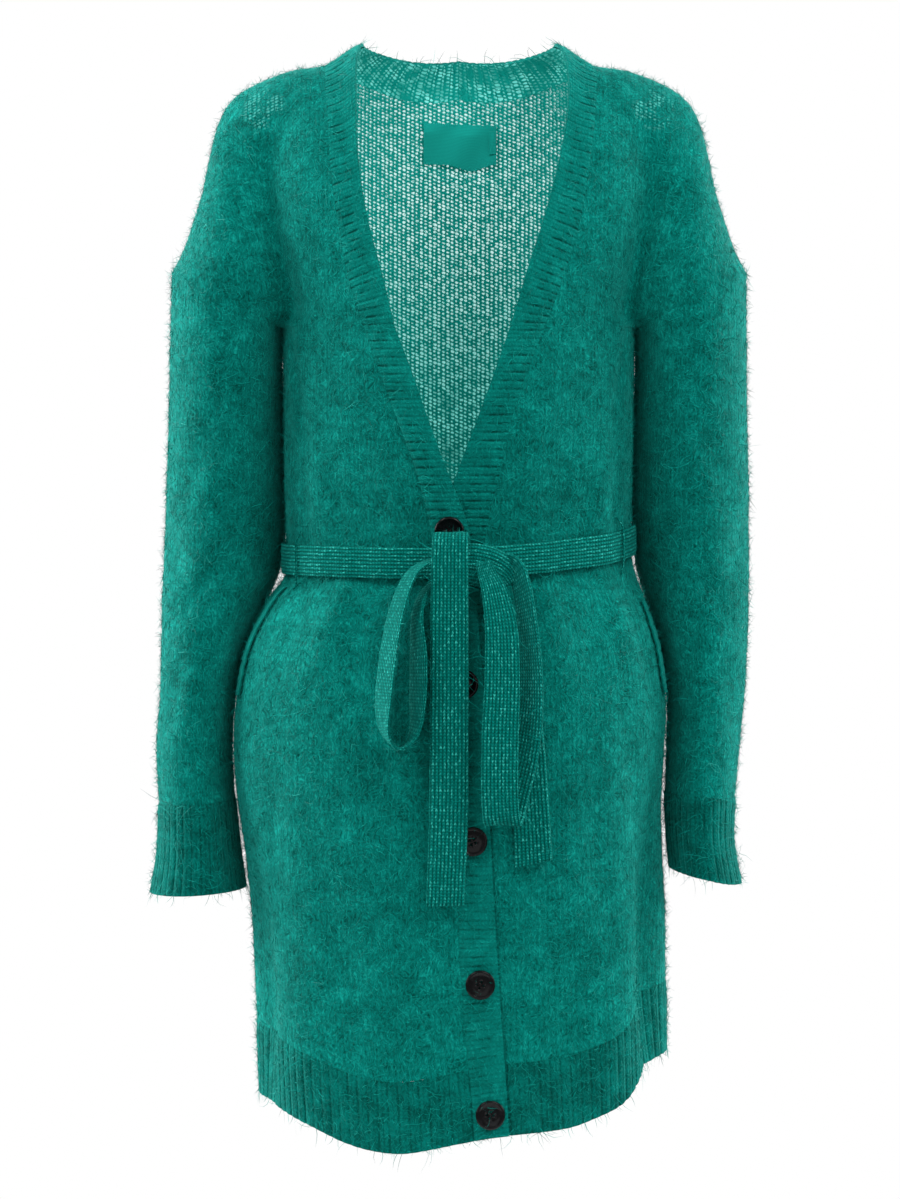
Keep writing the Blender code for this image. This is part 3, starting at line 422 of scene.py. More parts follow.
class KnitSettings(bpy.types.PropertyGroup):
    thickness: length("Cloth thickness", "Thickness of the body and sleeve cloth", 0.0025)
    band_thickness: length("Band thickness", "Thickness of the front and neck bands", 0.0028)
    mesh_size: length("Mesh size", "Size of the faces in plain cloth", 0.006)
    stitch_width: length("Stitch width", "Width of one knit stitch", 0.0038)
    stitch_height: length("Stitch height", "Height of one knit stitch", 0.0032)
    hole_radius: length("Hole radius", "Radius of the gap between two stitches of the open back", 0.0015)


class RibSettings(bpy.types.PropertyGroup):
    pitch: length("Rib pitch", "Distance between two ribs of bands and cuffs", 0.0072)
    hem_pitch: length("Hem rib pitch", "Distance between two ribs of the hem", 0.0085)
    height: length("Rib height", "How far a rib stands out", 0.0012)
    fade: length("Rib fade", "Depth over which a rib rises out of the seam", 0.0060)


class NapSettings(bpy.types.PropertyGroup):
    density: amount("Density", "Hairs to a square metre", 125000.0)
    reach: length("Hair length", "Mean length of a mohair fibre that stands free", 0.0115)
    lift: length("Lift", "Mean height of a lying fibre's tip over the cloth", 0.0013)
    stand: length("Stand", "Mean height of a standing fibre's tip over the cloth", 0.0044)
    standing: amount("Standing", "Share of fibres that stand", 0.30)
    width: length("Hair width", "Width of a fibre at its root", 0.00042)


class BeltSettings(bpy.types.PropertyGroup):
    thickness: length("Belt thickness", "Thickness of the knitted strip", 0.0028)
    stitch_width: length("Belt stitch width", "Width of one stitch of the strip", 0.0029)
    stitch_height: length("Belt stitch height", "Height of one stitch of the strip", 0.0026)
    thread: length("Thread loop", "Thickness of a thread loop", 0.0018)


class ButtonSettings(bpy.types.PropertyGroup):
    radius: length("Radius", "Radius of a button", 0.0118)
    thickness: length("Thickness", "Thickness of a button", 0.0034)
    rim: length("Rim", "Width of the raised rim", 0.0022)
    dish: length("Dish", "Depth of the face below the rim", 0.0008)
    hole: length("Hole radius", "Radius of one of the four holes", 0.0010)
    spread: length("Hole spread", "Distance of a hole from the centre", 0.0024)


class LabelSettings(bpy.types.PropertyGroup):
    thickness: length("Thickness", "Thickness of the woven label", 0.0010)
    wave: length("Wave", "Depth of the label's soft waves", 0.0022)


class ColourSettings(bpy.types.PropertyGroup):
    # The deep colour is darker yarn in the mottling, and also painted shade in the gaps between the stitches
    deep: colour("Deep", "Yarn in the gaps of the knit", (0.0002, 0.048, 0.038))
    yarn: colour("Yarn", "Mean colour of the yarn", (0.0008, 0.145, 0.120))
    bright: colour("Bright", "Lit fibre ends", (0.0050, 0.300, 0.250))
    sparkle: colour("Sparkle", "Stitches of the belt that catch the light", (0.0350, 0.480, 0.410))
    glow: colour("Glow", "Fibre haze with light behind it", (0.2000, 0.930, 0.840))
    gloss: colour("Gloss", "Tint of the yarn's soft gloss", (0.0200, 0.700, 0.600))
    sheen: colour("Sheen", "Glow of the fibres seen edge on", (0.0600, 0.740, 0.640))
    label: colour("Label", "Satin label", (0.010, 0.360, 0.305))
    button: colour("Button", "Polished button", (0.0025, 0.0025, 0.0030))
    floor: colour("Floor", "Studio floor", (0.90, 0.90, 0.90))


class StageSettings(bpy.types.PropertyGroup):
    distance: length("Camera distance", "Distance from the camera to the middle of the body", 3.0)
    view_height: length("View height", "Height that the picture covers at the body", 0.995)
    eye: amount("Eye height", "Height of the camera", -0.350, "LENGTH")
    drop: amount("Drop", "How far the view is shifted down", 0.0895, "LENGTH")
    side: amount("Side", "X of the camera", -0.0075, "LENGTH")
    floor: amount("Floor", "Height of the floor", -1.05, "LENGTH")
    radius: length("Floor radius", "Radius of the round floor", 0.55)
    ambient: amount("Ambient", "Strength of the light all round", 0.36)


class CardiganSettings(bpy.types.PropertyGroup):
    knit: bpy.props.PointerProperty(type=KnitSettings)
    rib: bpy.props.PointerProperty(type=RibSettings)
    nap: bpy.props.PointerProperty(type=NapSettings)
    belt: bpy.props.PointerProperty(type=BeltSettings)
    button: bpy.props.PointerProperty(type=ButtonSettings)
    label: bpy.props.PointerProperty(type=LabelSettings)
    colours: bpy.props.PointerProperty(type=ColourSettings)
    stage: bpy.props.PointerProperty(type=StageSettings)


# Reading tables


def smooth(x):
    x = np.clip(x, 0.0, 1.0)
    return x * x * (3 - 2 * x)


def read(table, at, column):
    """A column of a table at values of its first column, on a smooth curve through the rows."""
    rows = np.array(table, float)
    if rows[0, 0] > rows[-1, 0]:
        rows = rows[::-1]
    keys, values = rows[:, 0], rows[:, column]
    at = np.clip(np.asarray(at, float), keys[0], keys[-1])
    i = np.clip(np.searchsorted(keys, at) - 1, 0, len(keys) - 2)
    row = np.arange(len(keys))
    before, after = np.maximum(row - 1, 0), np.minimum(row + 1, len(keys) - 1)
    slope = (values[after] - values[before]) / (keys[after] - keys[before])
    span = keys[i + 1] - keys[i]
    t = (at - keys[i]) / span
    rise = values[i + 1] - values[i]
    bend_in, bend_out = slope[i] * span, slope[i + 1] * span
    curve = 3 * rise - 2 * bend_in - bend_out + t * (bend_in + bend_out - 2 * rise)
    return values[i] + t * (bend_in + t * curve)


def along(table, t):
    """All columns of a table of points at t from 0 to 1, on a smooth curve that is even in its rows."""
    rows = np.array(table, float)
    place = np.atleast_1d(t) * (len(rows) - 1)
    i = np.minimum(place.astype(int), len(rows) - 2)
    f = (place - i)[:, None]
    p, q, r, s = (rows[np.clip(i + k, 0, len(rows) - 1)] for k in (-1, 0, 1, 2))
    return 0.5 * (2 * q + f * (r - p + f * (2 * p - 5 * q + 4 * r - s + f * (3 * q - p - 3 * r + s))))


def even(start, end, step):
    """Even values from start to end, about a step apart."""
    return np.linspace(start, end, max(2, int(round(abs(end - start) / step)) + 1))


def unit(vectors):
    return vectors / np.maximum(np.linalg.norm(vectors, axis=-1, keepdims=True), 1e-12)


def around(turn):
    """An angle in degrees brought between -180 and 180."""
    return (turn + 180) % 360 - 180


def dents(table, turn, height):
    """Sum of the soft folds and creases in a table at a turn and a height."""
    total = np.zeros(np.broadcast(turn, height).shape)
    for at, middle, wide, tall, depth, slant in table:
        off = around(turn - at - slant * (height - middle))
        total += depth * np.exp(-((off / wide) ** 2) - ((height - middle) / tall) ** 2)
    return total


# The surface of the body and shoulders


def level_height(angle, level):
    """Height of a level round the body."""
    angle = np.asarray(angle, float)
    if level >= HEM_BLEND:
        return np.full(angle.shape, level)
    edge = read(HEM_LINE, angle, 1)
    seam = edge + HEM_RIB_DEPTH
    if level >= HEM_SEAM:
        return HEM_BLEND + (level - HEM_BLEND) / (HEM_SEAM - HEM_BLEND) * (seam - HEM_BLEND)
    return seam + (level - HEM_SEAM) / (HEM_EDGE - HEM_SEAM) * (edge - seam)


def section_point(angle, height):
    """A point of the body at a true height, with its folds."""
    angle, height = np.broadcast_arrays(np.asarray(angle, float), np.asarray(height, float))
    s, c = np.sin(np.radians(angle)), np.cos(np.radians(angle))
    half = np.where(s < 0, read(BODY_SECTIONS, height, 1), read(BODY_SECTIONS, height, 2))
    depth = np.where(c > 0, read(BODY_SECTIONS, height, 3), read(BODY_SECTIONS, height, 4))
    out = dents(BODY_FOLDS + BODY_CREASES, angle, height)
    x = half * np.sign(s) * np.abs(s) ** (2 / ROUNDNESS)
    y = -depth * np.sign(c) * np.abs(c) ** (2 / ROUNDNESS)
    return np.stack((x + out * s, y - out * c, height), -1)


def body_point(angle, level):
    """A point of the body below the chest. Levels below HEM_BLEND follow the hem's line."""
    angle = around(np.asarray(angle, float))
    return section_point(angle, level_height(angle, level))


def angle_of_way(way):
    """Side angle from the front for a way out from the centre (0) to the side (1)."""
    return np.degrees(np.arcsin(np.clip(way, 0.0, 1.0) ** (ROUNDNESS / 2)))


def way_of_angle(angle):
    return np.sin(np.radians(angle)) ** (2 / ROUNDNESS)


def yoke_point(side, way, turn):
    """A point of the shoulders.

    way goes from the centre (0) to the armhole (1), and turn from the front chest (0) over the shoulder (90)
    to the back (180).
    """
    way, turn = np.broadcast_arrays(np.clip(way, 0.0, 1.0), np.asarray(turn, float))
    back = turn > 90
    rise = np.where(back, 180 - turn, turn)
    angle = angle_of_way(way)
    chest = section_point(side * np.where(back, 180 - angle, angle), np.full(way.shape, CHEST))
    top_x, top_z = side * read(SHOULDER_LINE, way, 1), read(SHOULDER_LINE, way, 2)
    s, c = np.sin(np.radians(rise)), np.maximum(np.cos(np.radians(rise)), 0.0)
    mix = s ** (1 + way)
    lean = smooth(way / 0.6)
    fall = np.where(back, 0.5 + 0.4 * lean, 0.75 + 0.25 * lean) + 8 * way**6
    torso = np.abs(chest[..., 1]) * c**fall
    hollow = 0.6 * (1 - way) / CREASE_SLOPE
    size = HEAD_DEPTH * smooth((way - 0.35) / 0.55)
    over = (rise > hollow) & (hollow < 90)
    head = np.where(over, size * np.sin(np.pi * (rise - hollow) / np.maximum(90 - hollow, 1e-6)), 0.0)
    depth = (torso**3 + np.maximum(head, 0.0) ** 3) ** (1 / 3)
    crease = 1 - CREASE_SLOPE * rise
    fade = smooth((rise - CREASE_TURNS[0]) / 12) * smooth((CREASE_TURNS[1] - rise) / 20)
    depth = depth - CREASE_DEPTH * fade * np.exp(-(((way - crease) / CREASE_WIDTH) ** 2))
    x = (1 - mix) * chest[..., 0] + mix * top_x
    z = (1 - mix) * CHEST + mix * top_z
    return np.stack((x, np.where(back, depth, -depth), z), -1)


def ring_point(side, row, turn):
    """Points round the arm on one ring of a sleeve or cuff."""
    height, inner, outer, deep, centre, tilt = row
    c, s = np.cos(np.radians(turn)), np.sin(np.radians(turn))
    push = dents(SLEEVE_CREASES, turn, height)
    x = (inner + outer) / 2 - c * ((outer - inner) / 2 + push)
    return np.stack((side * x, centre - s * (deep + push), height - c * tilt), -1)


def placket(side, height, column):
    """x of a band's edge below the chest. column 0 is the seam, 1 the free edge."""
    return read(PLACKET_CURVES, height, (1 if side < 0 else 3) + column)


def neck_way(side, turn, column):
    return read(NECK_CURVES, turn, (1 if side < 0 else 3) + column)


def angle_at(x, height):
    half = read(BODY_SECTIONS, height, 1 if x < 0 else 2)
    return float(np.sign(x) * angle_of_way(abs(x) / half))


def seam_angle(side, level, column=0):
    """Side angle where a band's edge crosses a level."""
    height, angle = level, 0.0
    for _ in range(3):
        angle = angle_at(float(placket(side, height, column)), height)
        height = float(level_height(angle, level))
    return angle


def yoke_ways(start, turn, columns):
    """Ways of the columns from a seam out to the armhole: even in angle at the chest, in way above it."""
    t = np.linspace(0, 1, columns + 1)
    first = angle_of_way(start)
    by_angle = way_of_angle(first + (90 - first) * t)
    return by_angle + (start + (1 - start) * t - by_angle) * smooth(turn / 30)


def neck_drop(way, reach, drop):
    """How far below the shoulder line, in degrees of turn, a line round the back of the neck lies."""
    return drop * np.sqrt(np.maximum(1 - (np.minimum(way, reach) / reach) ** 2.2, 0.0))


# Building meshes


def grid_normals(points, ring=False):
    """Unit normals of a grid of points, rows first."""
    if ring:
        wide = np.concatenate((points[:, -2:-1], points, points[:, 1:2]), 1)
        du = (wide[:, 2:] - wide[:, :-2]) / 2
    else:
        du = np.gradient(points, axis=1)
    dv = np.gradient(points, axis=0)
    return unit(np.cross(du, dv))


def outward(points, normals, core):
    """Turns the normals of a grid away from a core line, one core point to a row."""
    away = (points - core[:, None, :]) * normals
    return normals if away.sum() > 0 else -normals


def body_core(points):
    """The middle line of the body at the height of each row."""
    core = points.mean(1)
    core[:, :2] = 0.0
    return core


def row_lengths(points):
    """Running length along the middle row and along the middle column of a grid."""
    row, column = points[len(points) // 2], points[:, points.shape[1] // 2]
    lengths = []
    for line in (row, column):
        steps = np.linalg.norm(np.diff(line, axis=0), axis=1)
        lengths.append(np.concatenate(([0.0], np.cumsum(steps))))
    return lengths


def grid_area(points):
    a, b = points[1:, 1:] - points[:-1, :-1], points[1:, :-1] - points[:-1, 1:]
    return float(np.linalg.norm(np.cross(a, b), axis=2).sum() / 2)


def link(bm, name, material, sharp=None):
    mesh = bpy.data.meshes.new(name)
    bm.to_mesh(mesh)
    bm.free()
    mesh.shade_smooth()
    if sharp is not None:
        mesh.set_sharp_from_angle(angle=math.radians(sharp))
    mesh.materials.append(material)
    obj = bpy.data.objects.new(name, mesh)
    bpy.context.scene.collection.objects.link(obj)
    return obj


def plain_uv(points):
    """Metres along the middle row and the middle column."""
    wide, tall = row_lengths(points)
    return np.stack(np.broadcast_arrays(wide[None, :], tall[:, None]), -1)


def wale_uv(points, chest, middle=0):
    """Where the knit lies on a panel of the body, whose middle is at the middle column or beyond the first.

    Wales run upright: below the chest row they spread evenly with the cloth, and above it they keep their
    distance from the middle of the body. Courses are level.
    """
    steps = np.diff(points, axis=1)
    none = np.zeros((len(points), 1))
    run = np.concatenate((none, np.cumsum(np.linalg.norm(steps, axis=2), axis=1)), 1)
    level = np.concatenate((none, np.cumsum(np.hypot(steps[..., 0], steps[..., 1]), axis=1)), 1)
    start = np.abs(points[:, middle : middle + 1, 0])
    run, u = run - run[:, middle : middle + 1] + start, level - level[:, middle : middle + 1] + start
    for end, half in ((-1, np.s_[:chest, middle:]), (0, np.s_[:chest, :middle])):
        u[half] = run[half] / run[:chest, end : end + 1 or None] * u[chest, end]
    rise = np.diff(points, axis=0)
    up = np.hypot(rise[..., 1], rise[..., 2])
    up[:chest] = np.linalg.norm(rise[:chest], axis=2).mean(1, keepdims=True)
    v = np.concatenate((np.zeros((1, points.shape[1])), np.cumsum(up, axis=0)))
    return np.stack((u, v), -1)


def grid_mesh(name, points, normals, material, ring=False, caps=False, knit=None):
    """A grid moved on to the points. Its UV map holds metres of knit."""
    rows, columns = points.shape[:2]
    if knit is None:
        knit = plain_uv(points)
    bm = bmesh.new()
    bmesh.ops.create_grid(bm, x_segments=columns - 1, y_segments=rows - 1, size=0.5)
    uv = bm.loops.layers.uv.new("knit")
    place = {}
    for v in bm.verts:
        place[v] = (round((v.co.y + 0.5) * (rows - 1)), round((v.co.x + 0.5) * (columns - 1)))
    for face in bm.faces:
        for loop in face.loops:
            r, c = place[loop.vert]
            loop[uv].uv = knit[r, c]
    for v, (r, c) in place.items():
        v.co = points[r, c]
    bm.normal_update()
    facing = sum(v.normal.dot(Vector(normals[place[v]])) for v in bm.verts)
    if facing < 0:
        bmesh.ops.reverse_faces(bm, faces=bm.faces)
    if ring:
        bmesh.ops.remove_doubles(bm, verts=bm.verts, dist=0.000002)
    if caps:
        bmesh.ops.dissolve_degenerate(bm, dist=0.000002, edges=bm.edges)
    return link(bm, name, material)


def thicken(obj, thickness, inner=None):
    """Turns a surface into a wall inside it, with crisp rims. inner is the finish of the inner face."""
    shell = obj.modifiers.new("Thickness", "SOLIDIFY")
    shell.thickness = thickness
    shell.offset = -1.0
    if inner is not None:
        obj.data.materials.append(inner)
        shell.material_offset = 1
    wall = bpy.data.meshes.new_from_object(obj.evaluated_get(bpy.context.evaluated_depsgraph_get()))
    wall.set_sharp_from_angle(angle=math.radians(CRISP_RIM))
    obj.modifiers.clear()
    obj.data = wall
    return obj


def dress(obj, nodes, cut=None, area=None):
    """Hands a finished piece to the frame, and hides the frame's parts that it stands for."""
    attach(obj, BODY)
    if nodes:
        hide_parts(*nodes)
    if cut is not None:
        if area is not None:
            area = min(max(area, 0.31 * cut[0] * cut[1]), cut[0] * cut[1])
    return obj


def cloth(name, points, node, material, thickness, core=None, ring=False, knit=None, inner=None):
    """A shell of knitted cloth on a grid of outer points."""
    if core is None:
        core = body_core(points)
    normals = outward(points, grid_normals(points, ring), core)
    obj = thicken(grid_mesh(name, points, normals, material, ring, knit=knit), thickness, inner)
    surfaces[name] = (points, normals)
    wide, tall = row_lengths(points)
    cut = (round(float(wide[-1]), 4), round(float(tall[-1]), 4))
    return dress(obj, (node,), cut, grid_area(points))


def ribbed(points, pitch, rib, core, ring=False, run_out=0.0):
    """Raises ribs on a fine grid, and gives where the knit lies on it.

    Ribs run along the columns and fade in from the seam at the first row. Felting fills the grooves unevenly,
    and run_out is how far they fill towards the edge.
    """
    normals = outward(points, grid_normals(points, ring), core)
    wide, tall = row_lengths(points)
    ribs = max(2, round(float(wide[-1]) / pitch))
    phase = wide / wide[-1] * ribs
    groove = np.rint(phase) % ribs
    depth = 0.30 + 0.70 * np.abs(np.sin(2.4 * groove + 1.3 * np.sin(0.7 * groove)))
    open_share = 1 - run_out * smooth((tall / tall[-1] - 0.50) / 0.32)
    hollow = depth * (1 - np.abs(np.sin(np.pi * phase)) ** 0.8)
    bulge = rib.height * (1 - hollow[None, :] * open_share[:, None])
    fade = smooth((tall + 0.0015) / rib.fade)
    knit = np.stack(np.broadcast_arrays((phase * rib.pitch)[None, :], tall[:, None]), -1)
    return points + normals * (bulge * fade[:, None])[..., None], knit


# Materials


def new_material(name):
    material = bpy.data.materials.new(name)
    material.use_nodes = True
    return material, material.node_tree, material.node_tree.nodes["Principled BSDF"]


def add(tree, kind, inputs=(), **settings):
    node = tree.nodes.new(kind)
    for key, value in settings.items():
        setattr(node, key, value)
    for key, value in dict(inputs).items():
        if isinstance(value, bpy.types.NodeSocket):
            tree.links.new(value, node.inputs[key])
        else:
            node.inputs[key].default_value = value
    return node


def maths(tree, operation, *values):
    return add(tree, "ShaderNodeMath", enumerate(values), operation=operation).outputs[0]


def weighted(tree, start, *parts):
    """start plus each value times its weight."""
    for value, weight in parts:
        start = maths(tree, "MULTIPLY_ADD", value, weight, start)
    return start


def blend_colours(tree, factor, low, high):
    node = add(tree, "ShaderNodeMix", data_type="RGBA")
    for key, kind, value in (("Factor", "VALUE", factor), ("A", "RGBA", low), ("B", "RGBA", high)):
        socket = next(s for s in node.inputs if (s.name, s.type) == (key, kind) and s.enabled)
        if isinstance(value, bpy.types.NodeSocket):
            tree.links.new(value, socket)
        else:
            socket.default_value = value if key == "Factor" else (*value[:3], 1.0)
    return next(s for s in node.outputs if s.type == "RGBA" and s.enabled)


def noise(tree, vector, scale, detail=3.0, rough=0.55, distortion=0.0):
    inputs = {"Vector": vector, "Scale": scale, "Detail": detail, "Roughness": rough}
    inputs["Distortion"] = distortion
    return add(tree, "ShaderNodeTexNoise", inputs).outputs["Fac"]


def swayed(tree, vector, scale, detail, reach):
    """A vector pushed about by soft noise, with that noise."""
    drift = add(tree, "ShaderNodeTexNoise", {"Vector": vector, "Scale": scale, "Detail": detail})
    kind = "ShaderNodeVectorMath"
    off = add(tree, kind, {0: drift.outputs["Color"], 1: (0.5, 0.5, 0.5)}, operation="SUBTRACT")
    off = add(tree, kind, {0: off.outputs[0], "Scale": reach}, operation="SCALE")
    bent = add(tree, kind, {0: vector, 1: off.outputs[0]}, operation="ADD")
    return bent.outputs[0], drift.outputs["Fac"]


def spread(tree, value, low, high, to_low=0.0, to_high=1.0):
    inputs = {"Value": value, "From Min": low, "From Max": high, "To Min": to_low, "To Max": to_high}
    return add(tree, "ShaderNodeMapRange", inputs, interpolation_type="SMOOTHSTEP").outputs["Result"]


def knit_uv(tree):
    uv = add(tree, "ShaderNodeUVMap", uv_map="knit").outputs["UV"]
    parts = add(tree, "ShaderNodeSeparateXYZ", {0: uv})
    return uv, parts.outputs["X"], parts.outputs["Y"]


def stockinette(tree, u, v, width, height):
    """Relief of plain knit from 0 to 1: rounded wales, each a row of slanting stitches."""
    wale = maths(tree, "ABSOLUTE", maths(tree, "SINE", maths(tree, "MULTIPLY", u, math.pi / width)))
    across = maths(tree, "PINGPONG", maths(tree, "DIVIDE", u, width), 0.5)
    slant = maths(tree, "ADD", maths(tree, "DIVIDE", v, height), across)
    course = maths(tree, "COSINE", maths(tree, "MULTIPLY", slant, math.tau))
    return maths(tree, "MULTIPLY", wale, maths(tree, "MULTIPLY_ADD", course, 0.30, 0.70))


def distance(tree, x, y):
    return maths(tree, "SQRT", maths(tree, "MULTIPLY_ADD", x, x, maths(tree, "MULTIPLY", y, y)))


def stitch_gaps(tree, uv, width, height, radius):
    """Distance from the nearest gap of open knit, in gap radii.

    The gaps are egg-shaped, lean a little and vary, and each wale is shifted by half a stitch.
    """
    bent, drift = swayed(tree, uv, 180.0, 1.0, 0.0022)
    parts = add(tree, "ShaderNodeSeparateXYZ", {0: bent})
    wale = maths(tree, "DIVIDE", parts.outputs["X"], width)
    shift = maths(tree, "MULTIPLY", maths(tree, "FLOOR", wale), 0.5)
    course = maths(tree, "ADD", maths(tree, "DIVIDE", parts.outputs["Y"], height), shift)
    x = maths(tree, "SUBTRACT", maths(tree, "FRACT", wale), 0.5)
    y = maths(tree, "SUBTRACT", maths(tree, "FRACT", course), 0.5)
    x = maths(tree, "MULTIPLY", maths(tree, "MULTIPLY_ADD", y, 0.30, x), width / radius)
    y = maths(tree, "MULTIPLY", y, height / radius * 1.15)
    return maths(tree, "ADD", distance(tree, x, y), spread(tree, drift, 0.35, 0.65, -0.2, 0.3))


def fibres(tree, vector, turns=((0.30, 0.45, 0.0), (-0.40, -0.85, 0.0)), stretch=(1.0, 1.0, 0.20)):
    """Fine brushed fibre from 0 to 1: short streaks that swirl, a millimetre wide, in crossing layers."""
    bent = swayed(tree, vector, 55.0, 2.0, 0.022)[0]
    layers = []
    for turn in turns:
        turned = add(tree, "ShaderNodeMapping", {"Vector": bent, "Rotation": turn, "Scale": stretch})
        layers.append(noise(tree, turned.outputs["Vector"], 820.0, 2.0, 0.6))
    return maths(tree, "MAXIMUM", *layers)


def strip_fibres(tree, uv):
    """Brushed fibre that follows a narrow strip."""
    return fibres(tree, uv, ((0.0, 0.0, 0.35), (0.0, 0.0, -0.75)), (1.0, 0.25, 1.0))


def finish_cloth(material, tree, shader, base, height, depth, settings, sheen=0.35):
    bump = add(tree, "ShaderNodeBump", {"Height": height, "Distance": depth, "Strength": 0.9})
    tree.links.new(base, shader.inputs["Base Color"])
    tree.links.new(bump.outputs["Normal"], shader.inputs["Normal"])
    shader.inputs["Roughness"].default_value = 0.95
    shader.inputs["Specular IOR Level"].default_value = 0.12
    shader.inputs["Specular Tint"].default_value = (*settings.colours.gloss, 1.0)
    shader.inputs["Sheen Weight"].default_value = sheen
    shader.inputs["Sheen Roughness"].default_value = 0.5
    shader.inputs["Sheen Tint"].default_value = (*settings.colours.sheen, 1.0)
    return material


def mohair(settings, name, gaps):
    """Brushed knit: clouds of light and dark fibre over faint wales.

    gaps is where light shows through the stitches: "shoulders" on the fronts, "inside" and "outside" for the
    two faces of the open back, "neck" and "neck_inside" for those of the neck band, or None.
    """
    material, tree, shader = new_material(name)
    knit, colours = settings.knit, settings.colours
    uv, u, v = knit_uv(tree)
    where = add(tree, "ShaderNodeTexCoord").outputs["Object"]
    clouds = noise(tree, where, 70.0, 4.0, 0.6, 0.5)
    patches = noise(tree, where, 16.0, 2.0, 0.5, 0.3)
    hair = fibres(tree, where)
    relief = stockinette(tree, u, v, knit.stitch_width, knit.stitch_height)
    within = gaps in ("inside", "neck_inside")
    # Painted light: the inner faces of the open back and neck band are lifted in tone, for the light that
    # comes through the knit from behind
    inside_painted_light = 0.50 if within else 0.0
    # The relief darkens the gaps between the stitches with painted shade
    tone = weighted(tree, inside_painted_light, (patches, 0.35), (clouds, 0.9), (hair, 1.9), (relief, 0.14))
    low = blend_colours(tree, spread(tree, tone, 1.30, 1.80), colours.deep, colours.yarn)
    base = blend_colours(tree, spread(tree, tone, 1.74, 2.20), low, colours.bright)
    height = maths(tree, "MULTIPLY_ADD", relief, 0.25, hair)
    if gaps:
        far = stitch_gaps(tree, uv, knit.stitch_width, knit.stitch_height, knit.hole_radius)
        felt = noise(tree, uv, 60.0, 3.0, 0.6, 0.4)
        place = add(tree, "ShaderNodeSeparateXYZ", {0: where}).outputs
        if gaps == "shoulders":
            out = maths(tree, "SUBTRACT", maths(tree, "ABSOLUTE", place["X"]), SEE_THROUGH[0])
            up = maths(tree, "SUBTRACT", place["Z"], SEE_THROUGH[1])
            rim = spread(tree, distance(tree, out, up), 0.006, SEE_THROUGH[2])
            veil = maths(tree, "MAXIMUM", spread(tree, felt, 0.34, 0.56), rim)
            veil = maths(tree, "MAXIMUM", veil, 0.70)
            clear = maths(tree, "MULTIPLY", veil, 0.3)
        elif gaps.startswith("neck"):
            veil = spread(tree, felt, 0.34, 0.66)
            clear = 0.30
        else:
            felt = maths(tree, "ADD", felt, spread(tree, place["Z"], -0.10, -0.44, -0.28, 0.10))
            veil = spread(tree, felt, 0.36, 0.76)
            most = 0.66 if gaps == "inside" else 0.90
            clear = spread(tree, place["Z"], -0.09, -0.34, most, most * 0.20)
        bare = maths(tree, "SUBTRACT", 1.0, veil)
        open_stitch = maths(tree, "MULTIPLY", spread(tree, far, 1.05, 0.60), bare)
        # Painted light: the open stitches take the glow of the light behind them
        if within or gaps == "shoulders":
            base = blend_colours(tree, open_stitch, base, colours.glow)
        through = maths(tree, "MULTIPLY", open_stitch, clear)
        tree.links.new(maths(tree, "SUBTRACT", 1.0, through), shader.inputs["Alpha"])
        height = maths(tree, "MULTIPLY_ADD", open_stitch, -0.8, height)
    if within:
        # Painted light: the inner faces glow with the daylight that comes through the open knit
        strand = [0.45 * part for part in colours.bright]
        daylight = blend_colours(tree, open_stitch, strand, colours.glow)
        tree.links.new(daylight, shader.inputs["Emission Color"])
        shader.inputs["Emission Strength"].default_value = 0.46
    return finish_cloth(material, tree, shader, base, height, 0.0008, settings)


def rib_knit(settings, name, reach, dark, shade):
    """Two knit, two purl: felted ribs with uneven grooves.

    reach is how far from the seam the grooves stay open, dark how much painted shade they take, and shade how
    much painted shade darkens the whole rib.
    """
    material, tree, shader = new_material(name)
    knit, rib, colours = settings.knit, settings.rib, settings.colours
    uv, u, v = knit_uv(tree)
    where = add(tree, "ShaderNodeTexCoord").outputs["Object"]
    height_up = add(tree, "ShaderNodeSeparateXYZ", {0: where}).outputs["Z"]
    relief = stockinette(tree, u, v, rib.pitch / 2, knit.stitch_height)
    wave = maths(tree, "SINE", maths(tree, "MULTIPLY", u, math.pi / rib.pitch))
    from_groove = maths(tree, "ABSOLUTE", wave)
    felt = spread(tree, noise(tree, where, 110.0, 3.0, 0.6, 0.3), 0.38, 0.60, 1.0, 0.05)
    felt = maths(tree, "MULTIPLY", felt, spread(tree, v, reach * 0.60, reach, 1.0, 0.15))
    felt = maths(tree, "MULTIPLY", felt, spread(tree, height_up, -0.46, -0.38, 0.5, 1.0))
    groove = maths(tree, "MULTIPLY", spread(tree, from_groove, 0.60, 0.05), felt)
    clouds = noise(tree, where, 60.0, 3.0, 0.55, 0.4)
    hair = fibres(tree, where)
    streak = strip_fibres(tree, uv)
    # Painted shade: the grooves and the gaps of the relief are darkened, and the whole rib by shade
    tone = weighted(tree, -shade, (streak, 0.7), (hair, 1.0), (relief, 0.18), (clouds, 0.9), (groove, -dark))
    low = blend_colours(tree, spread(tree, tone, 0.85, 1.50), colours.deep, colours.yarn)
    base = blend_colours(tree, spread(tree, tone, 1.46, 1.95), low, colours.bright)
    height = weighted(tree, hair, (groove, -0.6), (relief, 0.5))
    return finish_cloth(material, tree, shader, base, height, 0.0009, settings)


